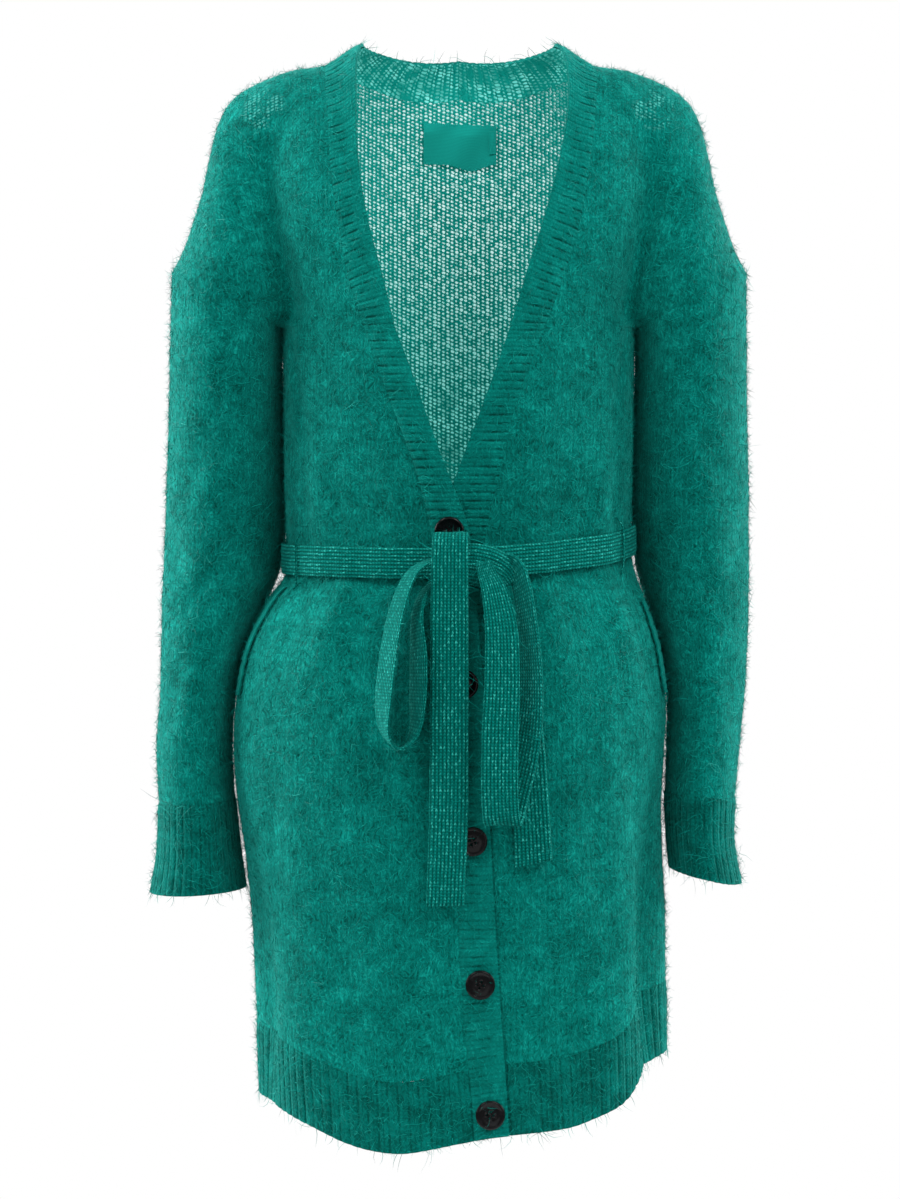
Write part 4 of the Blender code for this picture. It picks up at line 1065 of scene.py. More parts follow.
def belt_knit(settings):
    """Clean stockinette, less brushed than the body. Single stitches catch painted glints of light."""
    material, tree, shader = new_material("belt_knit")
    belt, colours = settings.belt, settings.colours
    uv, u, v = knit_uv(tree)
    relief = stockinette(tree, u, v, belt.stitch_width, belt.stitch_height)
    hair = strip_fibres(tree, uv)
    leg = maths(tree, "FLOOR", maths(tree, "DIVIDE", u, belt.stitch_width / 2))
    row = maths(tree, "FLOOR", maths(tree, "DIVIDE", v, belt.stitch_height))
    stitch = add(tree, "ShaderNodeCombineXYZ", {"X": leg, "Y": row}).outputs[0]
    chance = add(tree, "ShaderNodeTexWhiteNoise", {"Vector": stitch}, noise_dimensions="2D").outputs["Value"]
    # Painted glints on the crowns of single stitches
    lit = maths(tree, "MULTIPLY", spread(tree, chance, 0.66, 1.05), spread(tree, relief, 0.25, 0.80))
    # Painted shade: the stitch relief darkens the gaps between the stitches
    tone = weighted(tree, 0.0, (hair, 0.75), (relief, 0.62))
    low = blend_colours(tree, spread(tree, tone, 0.34, 0.84), colours.deep, colours.yarn)
    base = blend_colours(tree, spread(tree, tone, 0.78, 1.15, 0.0, 0.8), low, colours.bright)
    base = blend_colours(tree, lit, base, colours.sparkle)
    height = weighted(tree, relief, (hair, 0.3))
    return finish_cloth(material, tree, shader, base, height, 0.0009, settings, 0.15)


def loose_fibre(settings):
    """Fine mohair hairs. Each hair has its own tone."""
    material, tree, shader = new_material("mohair_fibre")
    colours = settings.colours
    tone = add(tree, "ShaderNodeAttribute", attribute_name="tone").outputs["Fac"]
    low = blend_colours(tree, spread(tree, tone, 0.0, 0.50), colours.deep, colours.yarn)
    base = blend_colours(tree, spread(tree, tone, 0.42, 0.95), low, colours.bright)
    tree.links.new(base, shader.inputs["Base Color"])
    shader.inputs["Roughness"].default_value = 0.6
    shader.inputs["Specular IOR Level"].default_value = 0.2
    shader.inputs["Specular Tint"].default_value = (*colours.gloss, 1.0)
    shader.inputs["Sheen Weight"].default_value = 0.2
    shader.inputs["Sheen Tint"].default_value = (*colours.sheen, 1.0)
    return material


def satin(settings):
    """Woven label cloth: fine threads across, with a soft gloss."""
    material, tree, shader = new_material("label_satin")
    uv = knit_uv(tree)[0]
    threads = {"Vector": uv, "Scale": 250.0, "Distortion": 0.4}
    weave = add(tree, "ShaderNodeTexWave", threads, bands_direction="Y").outputs["Fac"]
    tone = weighted(tree, 0.0, (noise(tree, uv, 900.0, 2.0), 0.5), (weave, 0.5))
    dim, lit = ([share * part for part in settings.colours.label] for share in (0.72, 1.25))
    base = blend_colours(tree, tone, dim, lit)
    bump = add(tree, "ShaderNodeBump", {"Height": tone, "Distance": 0.00012, "Strength": 0.6})
    tree.links.new(base, shader.inputs["Base Color"])
    tree.links.new(bump.outputs["Normal"], shader.inputs["Normal"])
    shader.inputs["Roughness"].default_value = 0.42
    shader.inputs["Specular IOR Level"].default_value = 0.35
    shader.inputs["Specular Tint"].default_value = (*settings.colours.gloss, 1.0)
    return material


def polished(settings):
    """Moulded button: nearly black, glossy, with a faint grain and rubbed rims."""
    material, tree, shader = new_material("polished_button")
    where = add(tree, "ShaderNodeTexCoord").outputs["Object"]
    grain = noise(tree, where, 900.0, 4.0, 0.6)
    marks = noise(tree, where, 160.0, 5.0, 0.7, 1.0)
    black = settings.colours.button
    base = blend_colours(tree, spread(tree, marks, 0.45, 0.75), black, [c * 3.0 for c in black])
    tree.links.new(base, shader.inputs["Base Color"])
    tree.links.new(spread(tree, marks, 0.35, 0.75, 0.10, 0.24), shader.inputs["Roughness"])
    bump = add(tree, "ShaderNodeBump", {"Height": grain, "Distance": 0.00005, "Strength": 0.4})
    tree.links.new(bump.outputs["Normal"], shader.inputs["Normal"])
    shader.inputs["Specular IOR Level"].default_value = 0.12
    shader.inputs["Coat Weight"].default_value = 0.05
    shader.inputs["Coat Roughness"].default_value = 0.15
    return material


def matte(name, paint):
    """Studio paint, a little uneven."""
    material, tree, shader = new_material(name)
    where = add(tree, "ShaderNodeTexCoord").outputs["Object"]
    base = blend_colours(tree, noise(tree, where, 3.0, 2.0), [0.985 * part for part in paint], paint)
    tree.links.new(base, shader.inputs["Base Color"])
    shader.inputs["Roughness"].default_value = 0.9
    return material


def material_of(settings, key):
    """The named finish, made once."""
    makers = {
        "brushed_mohair": lambda: mohair(settings, "brushed_mohair", None),
        "front_mohair": lambda: mohair(settings, "front_mohair", "shoulders"),
        "open_mohair": lambda: mohair(settings, "open_mohair", "outside"),
        "open_mohair_inside": lambda: mohair(settings, "open_mohair_inside", "inside"),
        "ribbed_mohair": lambda: rib_knit(settings, "ribbed_mohair", 0.026, 0.62, 0.02),
        "open_rib": lambda: mohair(settings, "open_rib", "neck"),
        "open_rib_inside": lambda: mohair(settings, "open_rib_inside", "neck_inside"),
        # Hem and cuffs: ribs darkened all over with painted shade
        "shaded_rib": lambda: rib_knit(settings, "shaded_rib", 0.200, 0.45, 0.30),
        "belt_knit": lambda: belt_knit(settings),
        "mohair_fibre": lambda: loose_fibre(settings),
        "label_satin": lambda: satin(settings),
        "polished_button": lambda: polished(settings),
    }
    return bpy.data.materials.get(key) or makers[key]()


# Panels


def front_points(side, knit):
    """Outer points of one front, with the number of its chest row.

    It runs from the hem seam up to the shoulder, and from the band seam out to the side.
    """
    columns = int(round(FRONT_REACH / knit.mesh_size))
    rows = []
    for level in even(HEM_SEAM, CHEST, knit.mesh_size):
        start = seam_angle(side, level)
        rows.append(body_point(np.linspace(start, 90 * side, columns + 1), level))
    for turn in even(0, 90, TURN_STEP)[1:]:
        ways = yoke_ways(float(neck_way(side, turn, 0)), turn, columns)
        rows.append(yoke_point(side, ways, turn))
    return np.array(rows), len(even(HEM_SEAM, CHEST, knit.mesh_size)) - 1


def back_points(knit):
    """Outer points of the back from the hem seam up to the shoulders, with the number of its chest row."""
    half = int(round(HALF_BACK_REACH / knit.mesh_size))
    neck = NECK_SEAM_WAY * np.sin(np.radians(np.linspace(0, 90, half // 3 + 1)))[:-1]

    def ways_at(turn):
        out = np.concatenate((neck, yoke_ways(NECK_SEAM_WAY, turn, half - len(neck))))
        return np.concatenate((-out[:0:-1], out))

    rows = []
    ways = ways_at(0.0)
    angles = np.where(ways < 0, -1, 1) * (180 - angle_of_way(np.abs(ways)))
    for level in even(HEM_SEAM, CHEST, knit.mesh_size):
        rows.append(body_point(angles, level))
    for turn in even(0, 90, TURN_STEP)[1:]:
        ways = ways_at(turn)
        top = 90 - neck_drop(np.abs(ways), NECK_SEAM_WAY, NECK_SEAM_DROP)
        side = np.where(ways < 0, -1, 1)
        rows.append(yoke_point(side, np.abs(ways), 180 - turn / 90 * top))
    return np.array(rows), len(even(HEM_SEAM, CHEST, knit.mesh_size)) - 1


def sleeve_points(side, rows, knit):
    """Outer rings of a sleeve, from the armhole down to the cuff."""
    turns = np.linspace(0, 360, int(round(SLEEVE_GIRTH / knit.mesh_size)) + 1)
    grid = [yoke_point(side, 1.0, turns / 2)]
    for t in even(0, 1, knit.mesh_size / SLEEVE_LENGTH):
        grid.append(ring_point(side, along(rows, t)[0], turns))
    grid = np.array(grid)
    # The first ring is eased into the armhole's edge
    middle = 0.5 * (grid[0] + grid[1])
    return np.insert(grid, 1, middle, axis=0)


def cuff_points(side, rows):
    turns = np.linspace(0, 360, CUFF_COLUMNS + 1)
    steps = even(0, 1, CUFF_STEP / CUFF_LENGTH)
    return np.array([ring_point(side, along(rows, t)[0], turns) for t in steps])


def hem_points(first, last, columns, rows=9):
    """A stretch of the ribbed hem between two side angles, given for each level."""
    grid = []
    for level in np.linspace(HEM_SEAM, HEM_EDGE, rows):
        grid.append(body_point(np.linspace(first(level), last(level), columns + 1), level))
    return np.array(grid)


def band_points(side, across=10):
    """One front band from the shoulder down to the hem, as rows across its width."""
    lines = []
    for turn in even(90, 0, BAND_TURN_STEP)[:-1]:
        seam, edge = float(neck_way(side, turn, 0)), float(neck_way(side, turn, 1))
        lines.append(yoke_point(side, np.linspace(seam, edge, across), turn))
    for level in even(CHEST, HEM_EDGE, BAND_STEP):
        seam, edge = seam_angle(side, level, 0), seam_angle(side, level, 1)
        lines.append(body_point(np.linspace(seam, edge, across), level))
    points = np.array(lines)
    normals = outward(points, grid_normals(points), body_core(points))
    levels = points[:, :, 2].mean(1)
    layered = smooth(read(PLACKET_CURVES, levels, 5))
    shift = (OVER_LIFT if side < 0 else -UNDER_DROP) * layered
    flush = smooth(np.linspace(0, 1, across) / 0.12)
    points = points + normals * shift[:, None, None] * flush[None, :, None]
    return points.transpose(1, 0, 2)


def neck_band_points(across=7):
    """The band round the back of the neck, as rows from its seam up to its edge."""
    turns = np.linspace(-90, 90, 281)
    rows = []
    for t in np.linspace(0, 1, across):
        reach = NECK_SEAM_WAY + (NECK_EDGE_WAY - NECK_SEAM_WAY) * t
        drop = NECK_SEAM_DROP + (NECK_EDGE_DROP - NECK_SEAM_DROP) * t
        way = reach * np.abs(np.sin(np.radians(turns)))
        rows.append(yoke_point(np.where(turns < 0, -1, 1), way, 90 + neck_drop(way, reach, drop)))
    return np.array(rows)


# Straps


def rounded(columns, flat, blunt):
    """Across and through a rounded section, both from -1 to 1. The powers set how flat and blunt it is."""
    turn = np.linspace(0, math.tau, columns + 1)
    a = np.sign(np.cos(turn)) * np.abs(np.cos(turn)) ** flat
    b = np.sign(np.sin(turn)) * np.abs(np.sin(turn)) ** blunt
    return a, b


def carried(centre, wide, thick, a, b, widths, depths, shares):
    """A closed strap: a section carried along a line. Rings at the shares draw each end in to a point."""
    points = centre[:, None, :] + wide[:, None, :] * (a[None, :, None] * widths[:, None, None] / 2)
    points = points + thick[:, None, :] * (b[None, :, None] * depths[:, None, None] / 2)
    ends = []
    for end in (0, -1):
        middle = points[end].mean(0)
        ends.append([middle + (points[end] - middle) * share for share in shares])
    return np.concatenate((ends[0], points, ends[1][::-1]))


def sweep(centre, wide, thick, widths, depths, columns=20):
    """A flat strap with slightly thicker edges."""
    a, b = rounded(columns, 0.55, 0.75)
    return carried(centre, wide, thick, a, b * (1 + 0.25 * a * a), widths, depths, (0.0, 0.55, 0.88))


def strap_points(rows, steps, thickness):
    """One free part of the belt, with its middle line."""
    table = along(rows, np.linspace(0, 1, steps + 1))
    centre, widths = table[:, :3], table[:, 3]
    forward = unit(np.gradient(centre, axis=0))
    turn = np.radians(table[:, 4])
    wide = np.stack((np.cos(turn), -np.sin(turn), np.zeros(len(turn))), 1)
    wide = unit(wide - forward * (wide * forward).sum(1, keepdims=True))
    thick = np.cross(forward, wide)
    return sweep(centre, wide, thick, widths, np.full(len(widths), thickness)), centre


def plain_waist(angle, height):
    """A smooth line round the outside of the folds at the waist: the widest of the levels the belt covers."""
    lifts = [section_point(angle, height + lift) for lift in (-BELT_HALF, 0.0, BELT_HALF)]
    far = np.array([np.hypot(p[..., 0], p[..., 1]) for p in lifts])
    best = np.take_along_axis(np.array(lifts), far.argmax(0)[None, ..., None], 0)[0].copy()
    best[..., 2] = height
    return best


def belt_clear(angle):
    """How far the belt stands off the waist: more over the bands, and most behind the knot."""
    over_bands = smooth((34 - np.abs(angle)) / 12)
    at_knot = smooth((16 - np.abs(angle - KNOT_ANGLE)) / 13)
    return BELT_CLEAR + BELT_OVER_BANDS * over_bands + KNOT_RISE * at_knot


def out_of(angle):
    """Level directions straight out of the body at side angles."""
    turn = np.radians(angle)
    return np.stack((np.sin(turn), -np.cos(turn), np.zeros(len(turn))), 1)


def waist_points(thickness):
    """The belt round the waist, from behind the knot all round to the knot again."""
    turn = around(BELT_START + (360 + BELT_END - BELT_START) * np.linspace(0, 1, 241))
    height = read(BELT_LINE, turn, 1)
    out = out_of(turn)
    centre = plain_waist(turn, height) + out * (belt_clear(turn) + thickness / 2)[:, None]
    up = np.tile((0.0, 0.0, 1.0), (len(turn), 1))
    return sweep(centre, up, out, np.full(len(turn), 2 * BELT_HALF), np.full(len(turn), thickness))


def slanted(points, start, end):
    """Cuts the two ends of a hanging strap aslant, by how far they rise for each metre across."""
    share = np.linspace(0, 1, len(points))[:, None]
    across = points[..., 0] - points[..., 0].mean(1, keepdims=True)
    points = points.copy()
    points[..., 2] += across * (start * smooth(1 - share / 0.12) + end * smooth(1 - (1 - share) / 0.12))
    return points


def knot_points():
    """The crossed strap of the bow: it comes from under the tail and turns down into the left loop."""
    table = along(KNOT_ARCH, np.linspace(0, 1, 41))
    centre = table[:, :3]
    forward = unit(np.gradient(centre, axis=0))
    out = np.tile((0.0, 1.0, 0.0), (len(table), 1))
    up = unit(np.cross(out, forward))
    a, b = rounded(60, 0.8, 0.7)
    # Two lengthwise folds draw the strap in
    gathers = 0.16 * np.exp(-(((a - 0.34) / 0.09) ** 2)) + 0.20 * np.exp(-(((a + 0.30) / 0.10) ** 2))
    return carried(centre, up, out, a, b * (1 - gathers), table[:, 3], table[:, 4], (0.0, 0.5, 0.85))


def closed_strap(name, points, node, material, flat, area=None):
    """A strap that is closed all round and at both ends."""
    core = points.mean(1)
    normals = outward(points, grid_normals(points, True), core)
    obj = grid_mesh(name, points, normals, material, ring=True, caps=True)
    surfaces[name] = (points[END_RINGS:-END_RINGS], normals[END_RINGS:-END_RINGS])
    return dress(obj, (node,), flat, area)


# Nap


def hairs(name, points, normals, material, count, nap, seed, rise=1.0):
    """Loose fibres over a surface: each is a narrow curling blade of three parts that ends in a point."""
    rng = np.random.default_rng(seed)
    corners = points[:-1, :-1], points[:-1, 1:], points[1:, :-1], points[1:, 1:]
    size = np.cross(corners[1] - corners[0], corners[2] - corners[0])
    size = np.linalg.norm(size, axis=2).ravel()
    pick = rng.choice(size.size, count, p=size / size.sum())
    r, c = np.unravel_index(pick, corners[0].shape[:2])
    fu, fv = rng.random((2, count, 1))

    def at(grid):
        low = grid[r, c] * (1 - fu) + grid[r, c + 1] * fu
        high = grid[r + 1, c] * (1 - fu) + grid[r + 1, c + 1] * fu
        return low * (1 - fv) + high * fv

    root, n = at(points), unit(at(normals))
    down = points[r + 1, c] - points[r, c]
    down = unit(down - n * (down * n).sum(1, keepdims=True))
    side = np.cross(n, down)
    stands = rng.random(count) < nap.standing
    reach = nap.reach * rng.lognormal(0.0, 0.35, count) * np.where(stands, 0.7, 1.0)
    lift = np.where(stands, nap.stand, nap.lift) * rng.lognormal(-0.05, 0.35, count)
    lift = np.minimum(lift, HIGHEST_TIP) * rise
    heading = rng.normal(0.0, 1.0, count) + np.where(rng.random(count) < 0.5, 0.0, math.pi)
    bend = rng.normal(0.0, 1.1, count)
    roll = rng.uniform(-1.2, 1.2, count)
    spots, ways = [], []
    spot = root - n * ROOT_DEPTH
    for part in range(4):
        s = part / 3
        angle = heading + bend * s
        way = down * np.cos(angle)[:, None] + side * np.sin(angle)[:, None]
        if part:
            climb = lift * (s**1.4 - ((part - 1) / 3) ** 1.4)
            spot = spot + way * (reach / 3)[:, None] + n * climb[:, None]
        spots.append(spot)
        ways.append(way)
    verts = []
    for part, share in enumerate((1.0, 0.85, 0.6)):
        flat = np.cross(ways[part], n)
        broad = flat * np.cos(roll)[:, None] + n * np.sin(roll)[:, None]
        broad *= nap.width * share / 2
        verts += [spots[part] - broad, spots[part] + broad]
    verts.append(spots[3])
    verts = np.stack(verts, 1).reshape(-1, 3)
    pattern = np.array(((0, 1, 3), (0, 3, 2), (2, 3, 5), (2, 5, 4), (4, 5, 6)))
    faces = (pattern[None] + 7 * np.arange(count)[:, None, None]).reshape(-1, 3)
    mesh = bpy.data.meshes.new(name)
    mesh.vertices.add(len(verts))
    mesh.vertices.foreach_set("co", verts.astype(np.float32).ravel())
    mesh.loops.add(faces.size)
    mesh.loops.foreach_set("vertex_index", faces.astype(np.int32).ravel())
    mesh.polygons.add(len(faces))
    mesh.polygons.foreach_set("loop_start", np.arange(0, faces.size, 3, dtype=np.int32))
    mesh.update(calc_edges=True)
    tone = mesh.attributes.new("tone", "FLOAT", "POINT")
    tone.data.foreach_set("value", np.repeat(rng.beta(2.2, 1.8, count), 7).astype(np.float32))
    mesh.shade_smooth()
    mesh.materials.append(material)
    obj = bpy.data.objects.new(name, mesh)
    bpy.context.scene.collection.objects.link(obj)
    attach(obj, BODY)
    return obj


# Operators


class CARDIGAN_OT_stage(bpy.types.Operator):
    """Set up the pale floor, soft studio light and camera"""

    bl_idname = "cardigan.stage"
    bl_label = "Stage"

    def execute(self, context):
        stage, colours = context.scene.cardigan.stage, context.scene.cardigan.colours
        bm = bmesh.new()
        bmesh.ops.create_circle(bm, cap_ends=True, segments=96, radius=stage.radius)
        bmesh.ops.translate(bm, verts=bm.verts, vec=(0.0, 0.0, stage.floor))
        floor = link(bm, "studio_floor", matte("studio_white", colours.floor))
        # name, place, size, power
        lights = (
            ("key", (-1.6, -1.7, 1.8), 1.2, 46.0),
            ("fill", (1.5, -1.9, 1.5), 1.4, 56.0),
            ("front", (0.0, -3.2, -0.1), 2.0, 12.0),
            ("rim_right", (-2.2, 0.5, 0.2), 1.4, 100.0),
            ("rim_left", (2.2, 0.5, 0.2), 1.2, 60.0),
            ("behind_right", (-1.0, 2.4, 1.3), 1.4, 44.0),
            ("behind_left", (1.3, 2.2, 0.9), 1.4, 36.0),
        )
        aim = Vector(LIGHT_AIM)
        for name, place, size, energy in lights:
            lamp = bpy.data.lights.new(name, "AREA")
            lamp.energy = energy
            lamp.size = size
            obj = bpy.data.objects.new(name, lamp)
            obj.location = place
            obj.rotation_euler = (aim - Vector(place)).to_track_quat("-Z", "Y").to_euler()
            obj.visible_camera = False
            context.scene.collection.objects.link(obj)
        world = bpy.data.worlds.new("studio")
        world.use_nodes = True
        # The backdrop is white, and lights the cloth only softly
        tree = world.node_tree
        seen = add(tree, "ShaderNodeLightPath").outputs["Is Camera Ray"]
        background = tree.nodes["Background"]
        background.inputs["Color"].default_value = (1.0, 1.0, 1.0, 1.0)
        strength = maths(tree, "MULTIPLY_ADD", seen, 1.0 - stage.ambient, stage.ambient)
        tree.links.new(strength, background.inputs["Strength"])
        context.scene.world = world
        context.scene.view_settings.view_transform = "Standard"
        lens = bpy.data.cameras.new("camera")
        lens.sensor_fit = "VERTICAL"
        lens.sensor_height = 24.0
        lens.lens = lens.sensor_height * stage.distance / stage.view_height
        lens.shift_y = -stage.drop / stage.view_height
        camera = bpy.data.objects.new("camera", lens)
        camera.location = (stage.side, -stage.distance, stage.eye)
        camera.rotation_euler = (math.radians(90), 0.0, 0.0)
        context.scene.collection.objects.link(camera)
        context.scene.camera = camera
        return {"FINISHED"}


class CARDIGAN_OT_back(bpy.types.Operator):
    """Knit the open back panel"""

    bl_idname = "cardigan.back"
    bl_label = "Back"

    def execute(self, context):
        settings = context.scene.cardigan
        thickness = settings.knit.thickness
        points, chest = back_points(settings.knit)
        lay = wale_uv(points, chest, points.shape[1] // 2)
        outer, inner = material_of(settings, "open_mohair"), material_of(settings, "open_mohair_inside")
        cloth("knit_back", points, "back_panel", outer, thickness, knit=lay, inner=inner)
        return {"FINISHED"}


class CARDIGAN_OT_fronts(bpy.types.Operator):
    """Knit both fronts"""

    bl_idname = "cardigan.fronts"
    bl_label = "Fronts"

    def execute(self, context):
        settings = context.scene.cardigan
        for name, side in (("right", -1), ("left", 1)):
            points, chest = front_points(side, settings.knit)
            lay = wale_uv(points, chest)
            material = material_of(settings, "front_mohair")
            node = f"front_{name}"
            cloth(f"knit_{node}", points, node, material, settings.knit.thickness, knit=lay)
        return {"FINISHED"}


class CARDIGAN_OT_sleeves(bpy.types.Operator):
    """Knit both sleeves and their ribbed cuffs"""

    bl_idname = "cardigan.sleeves"
    bl_label = "Sleeves and cuffs"

    def execute(self, context):
        settings = context.scene.cardigan
        rib, thickness = settings.rib, settings.knit.thickness
        brushed, shaded = material_of(settings, "brushed_mohair"), material_of(settings, "shaded_rib")
        arms = (("right", -1, RIGHT_SLEEVE, RIGHT_CUFF), ("left", 1, LEFT_SLEEVE, LEFT_CUFF))
        for name, side, sleeve, cuff in arms:
            points = sleeve_points(side, sleeve, settings.knit)
            core, node = points.mean(1), f"sleeve_{name}"
            cloth(f"knit_{node}", points, node, brushed, thickness, core, ring=True)
            points = cuff_points(side, cuff)
            core, node = points.mean(1), f"cuff_{name}"
            points, lay = ribbed(points, rib.pitch, rib, core, ring=True)
            cloth(f"knit_{node}", points, node, shaded, thickness, core, ring=True, knit=lay)
        return {"FINISHED"}


class CARDIGAN_OT_hem(bpy.types.Operator):
    """Knit the three stretches of the ribbed hem"""

    bl_idname = "cardigan.hem"
    bl_label = "Hem"

    def execute(self, context):
        settings = context.scene.cardigan
        rib, shaded = settings.rib, material_of(settings, "shaded_rib")
        # name, its first and last side angle at each level, columns
        stretches = (
            ("right", lambda level: seam_angle(-1, level), lambda level: -90, 240),
            ("left", lambda level: seam_angle(1, level), lambda level: 90, 240),
            ("back", lambda level: -90.0, lambda level: -270.0, 440),
        )
        for name, first, last, columns in stretches:
            points = hem_points(first, last, columns)
            points, lay = ribbed(points, rib.hem_pitch, rib, body_core(points))
            cloth(f"knit_hem_{name}", points, f"hem_{name}", shaded, settings.knit.thickness, knit=lay)
        return {"FINISHED"}


class CARDIGAN_OT_bands(bpy.types.Operator):
    """Knit the front bands and the band round the back of the neck"""

    bl_idname = "cardigan.bands"
    bl_label = "Bands"

    def execute(self, context):
        settings = context.scene.cardigan
        rib, thickness = settings.rib, settings.knit.band_thickness
        material = material_of(settings, "ribbed_mohair")
        for name, side in (("right", -1), ("left", 1)):
            points = band_points(side)
            core = body_core(points)
            points, lay = ribbed(points, rib.pitch, rib, core, run_out=0.8)
            cloth(f"knit_band_{name}", points, f"band_{name}", material, thickness, core, knit=lay)
        points = neck_band_points()
        core = np.tile(NECK_CORE, (len(points), 1))
        points, lay = ribbed(points, rib.pitch, rib, core)
        outer, inner = material_of(settings, "open_rib"), material_of(settings, "open_rib_inside")
        cloth("knit_neck_band", points, "neck_band", outer, thickness, core, knit=lay, inner=inner)
        return {"FINISHED"}


class CARDIGAN_OT_belt(bpy.types.Operator):
    """Knit the belt, its knot, both loops and both tails"""

    bl_idname = "cardigan.belt"
    bl_label = "Belt"

    def execute(self, context):
        settings = context.scene.cardigan
        thickness = settings.belt.thickness
        material = material_of(settings, "belt_knit")
        points = waist_points(thickness)
        run = float(row_lengths(points.transpose(1, 0, 2)[:2])[0][-1])
        closed_strap("knit_belt", points, "belt_waist", material, (2 * BELT_HALF, run))
        # name, route, steps along it, and how far its two ends rise across
        straps = (
            ("belt_loop_right", RIGHT_LOOP, 110, 0.0, 0.0),
            ("belt_loop_left", LEFT_LOOP, 130, 0.0, 0.0),
            ("belt_tail_right", RIGHT_TAIL, 80, 0.40, 0.08),
            ("belt_tail_left", LEFT_TAIL, 60, 0.0, 0.22),
        )
        for name, rows, steps, start, end in straps:
            points, centre = strap_points(rows, steps, thickness)
            points = slanted(points, start, end)
            run = float(np.linalg.norm(np.diff(centre, axis=0), axis=1).sum())
            wide = max(row[3] for row in rows)
            mean = sum(row[3] for row in rows) / len(rows)
            closed_strap(f"knit_{name}", points, name, material, (wide, run), mean * run)
        closed_strap("knit_belt_knot", knot_points(), "belt_knot", material, KNOT_CUT)
        return {"FINISHED"}


class CARDIGAN_OT_pockets(bpy.types.Operator):
    """Knit the ribbed welts of the side pockets"""

    bl_idname = "cardigan.pockets"
    bl_label = "Pocket welts"

    def execute(self, context):
        settings = context.scene.cardigan
        material = material_of(settings, "ribbed_mohair")
        for name, rows in (("right", RIGHT_WELT), ("left", LEFT_WELT)):
            table = along(rows, np.linspace(0, 1, 73))
            turn, levels = np.radians(table[:, 0]), table[:, 1]
            out = out_of(table[:, 0])
            wide = np.stack((np.cos(turn), np.sin(turn), np.zeros(len(turn))), 1)
            centre = section_point(table[:, 0], levels) + out * WELT_LIFT
            points = sweep(centre, wide, out, table[:, 2] * 2, np.full(len(turn), WELT_DEPTH), 24)
            ribs = round(float(np.ptp(levels)) / settings.rib.hem_pitch)
            swell = WELT_SWELL * np.sqrt(np.abs(np.sin(np.pi * np.linspace(0, ribs, len(turn)))))
            points[END_RINGS:-END_RINGS] += out[:, None, :] * swell[:, None, None]
            run = float(np.linalg.norm(np.diff(centre, axis=0), axis=1).sum())
            cut = (2 * max(row[2] for row in rows), run)
            closed_strap(f"knit_pocket_welt_{name}", points, f"pocket_welt_{name}", material, cut)
        return {"FINISHED"}


def front_frame(height):
    """Centre and outward direction of a thing that lies on the right band at a height."""
    x = float(placket(-1, height, 0) + placket(-1, height, 1)) / 2
    angle = angle_at(x, height)
    a, b = section_point(angle + 1.0, height), section_point(angle - 1.0, height)
    c, d = section_point(angle, height + 0.004), section_point(angle, height - 0.004)
    n = Vector(np.cross(a - b, c - d)).normalized()
    return Vector(section_point(angle, height)), n


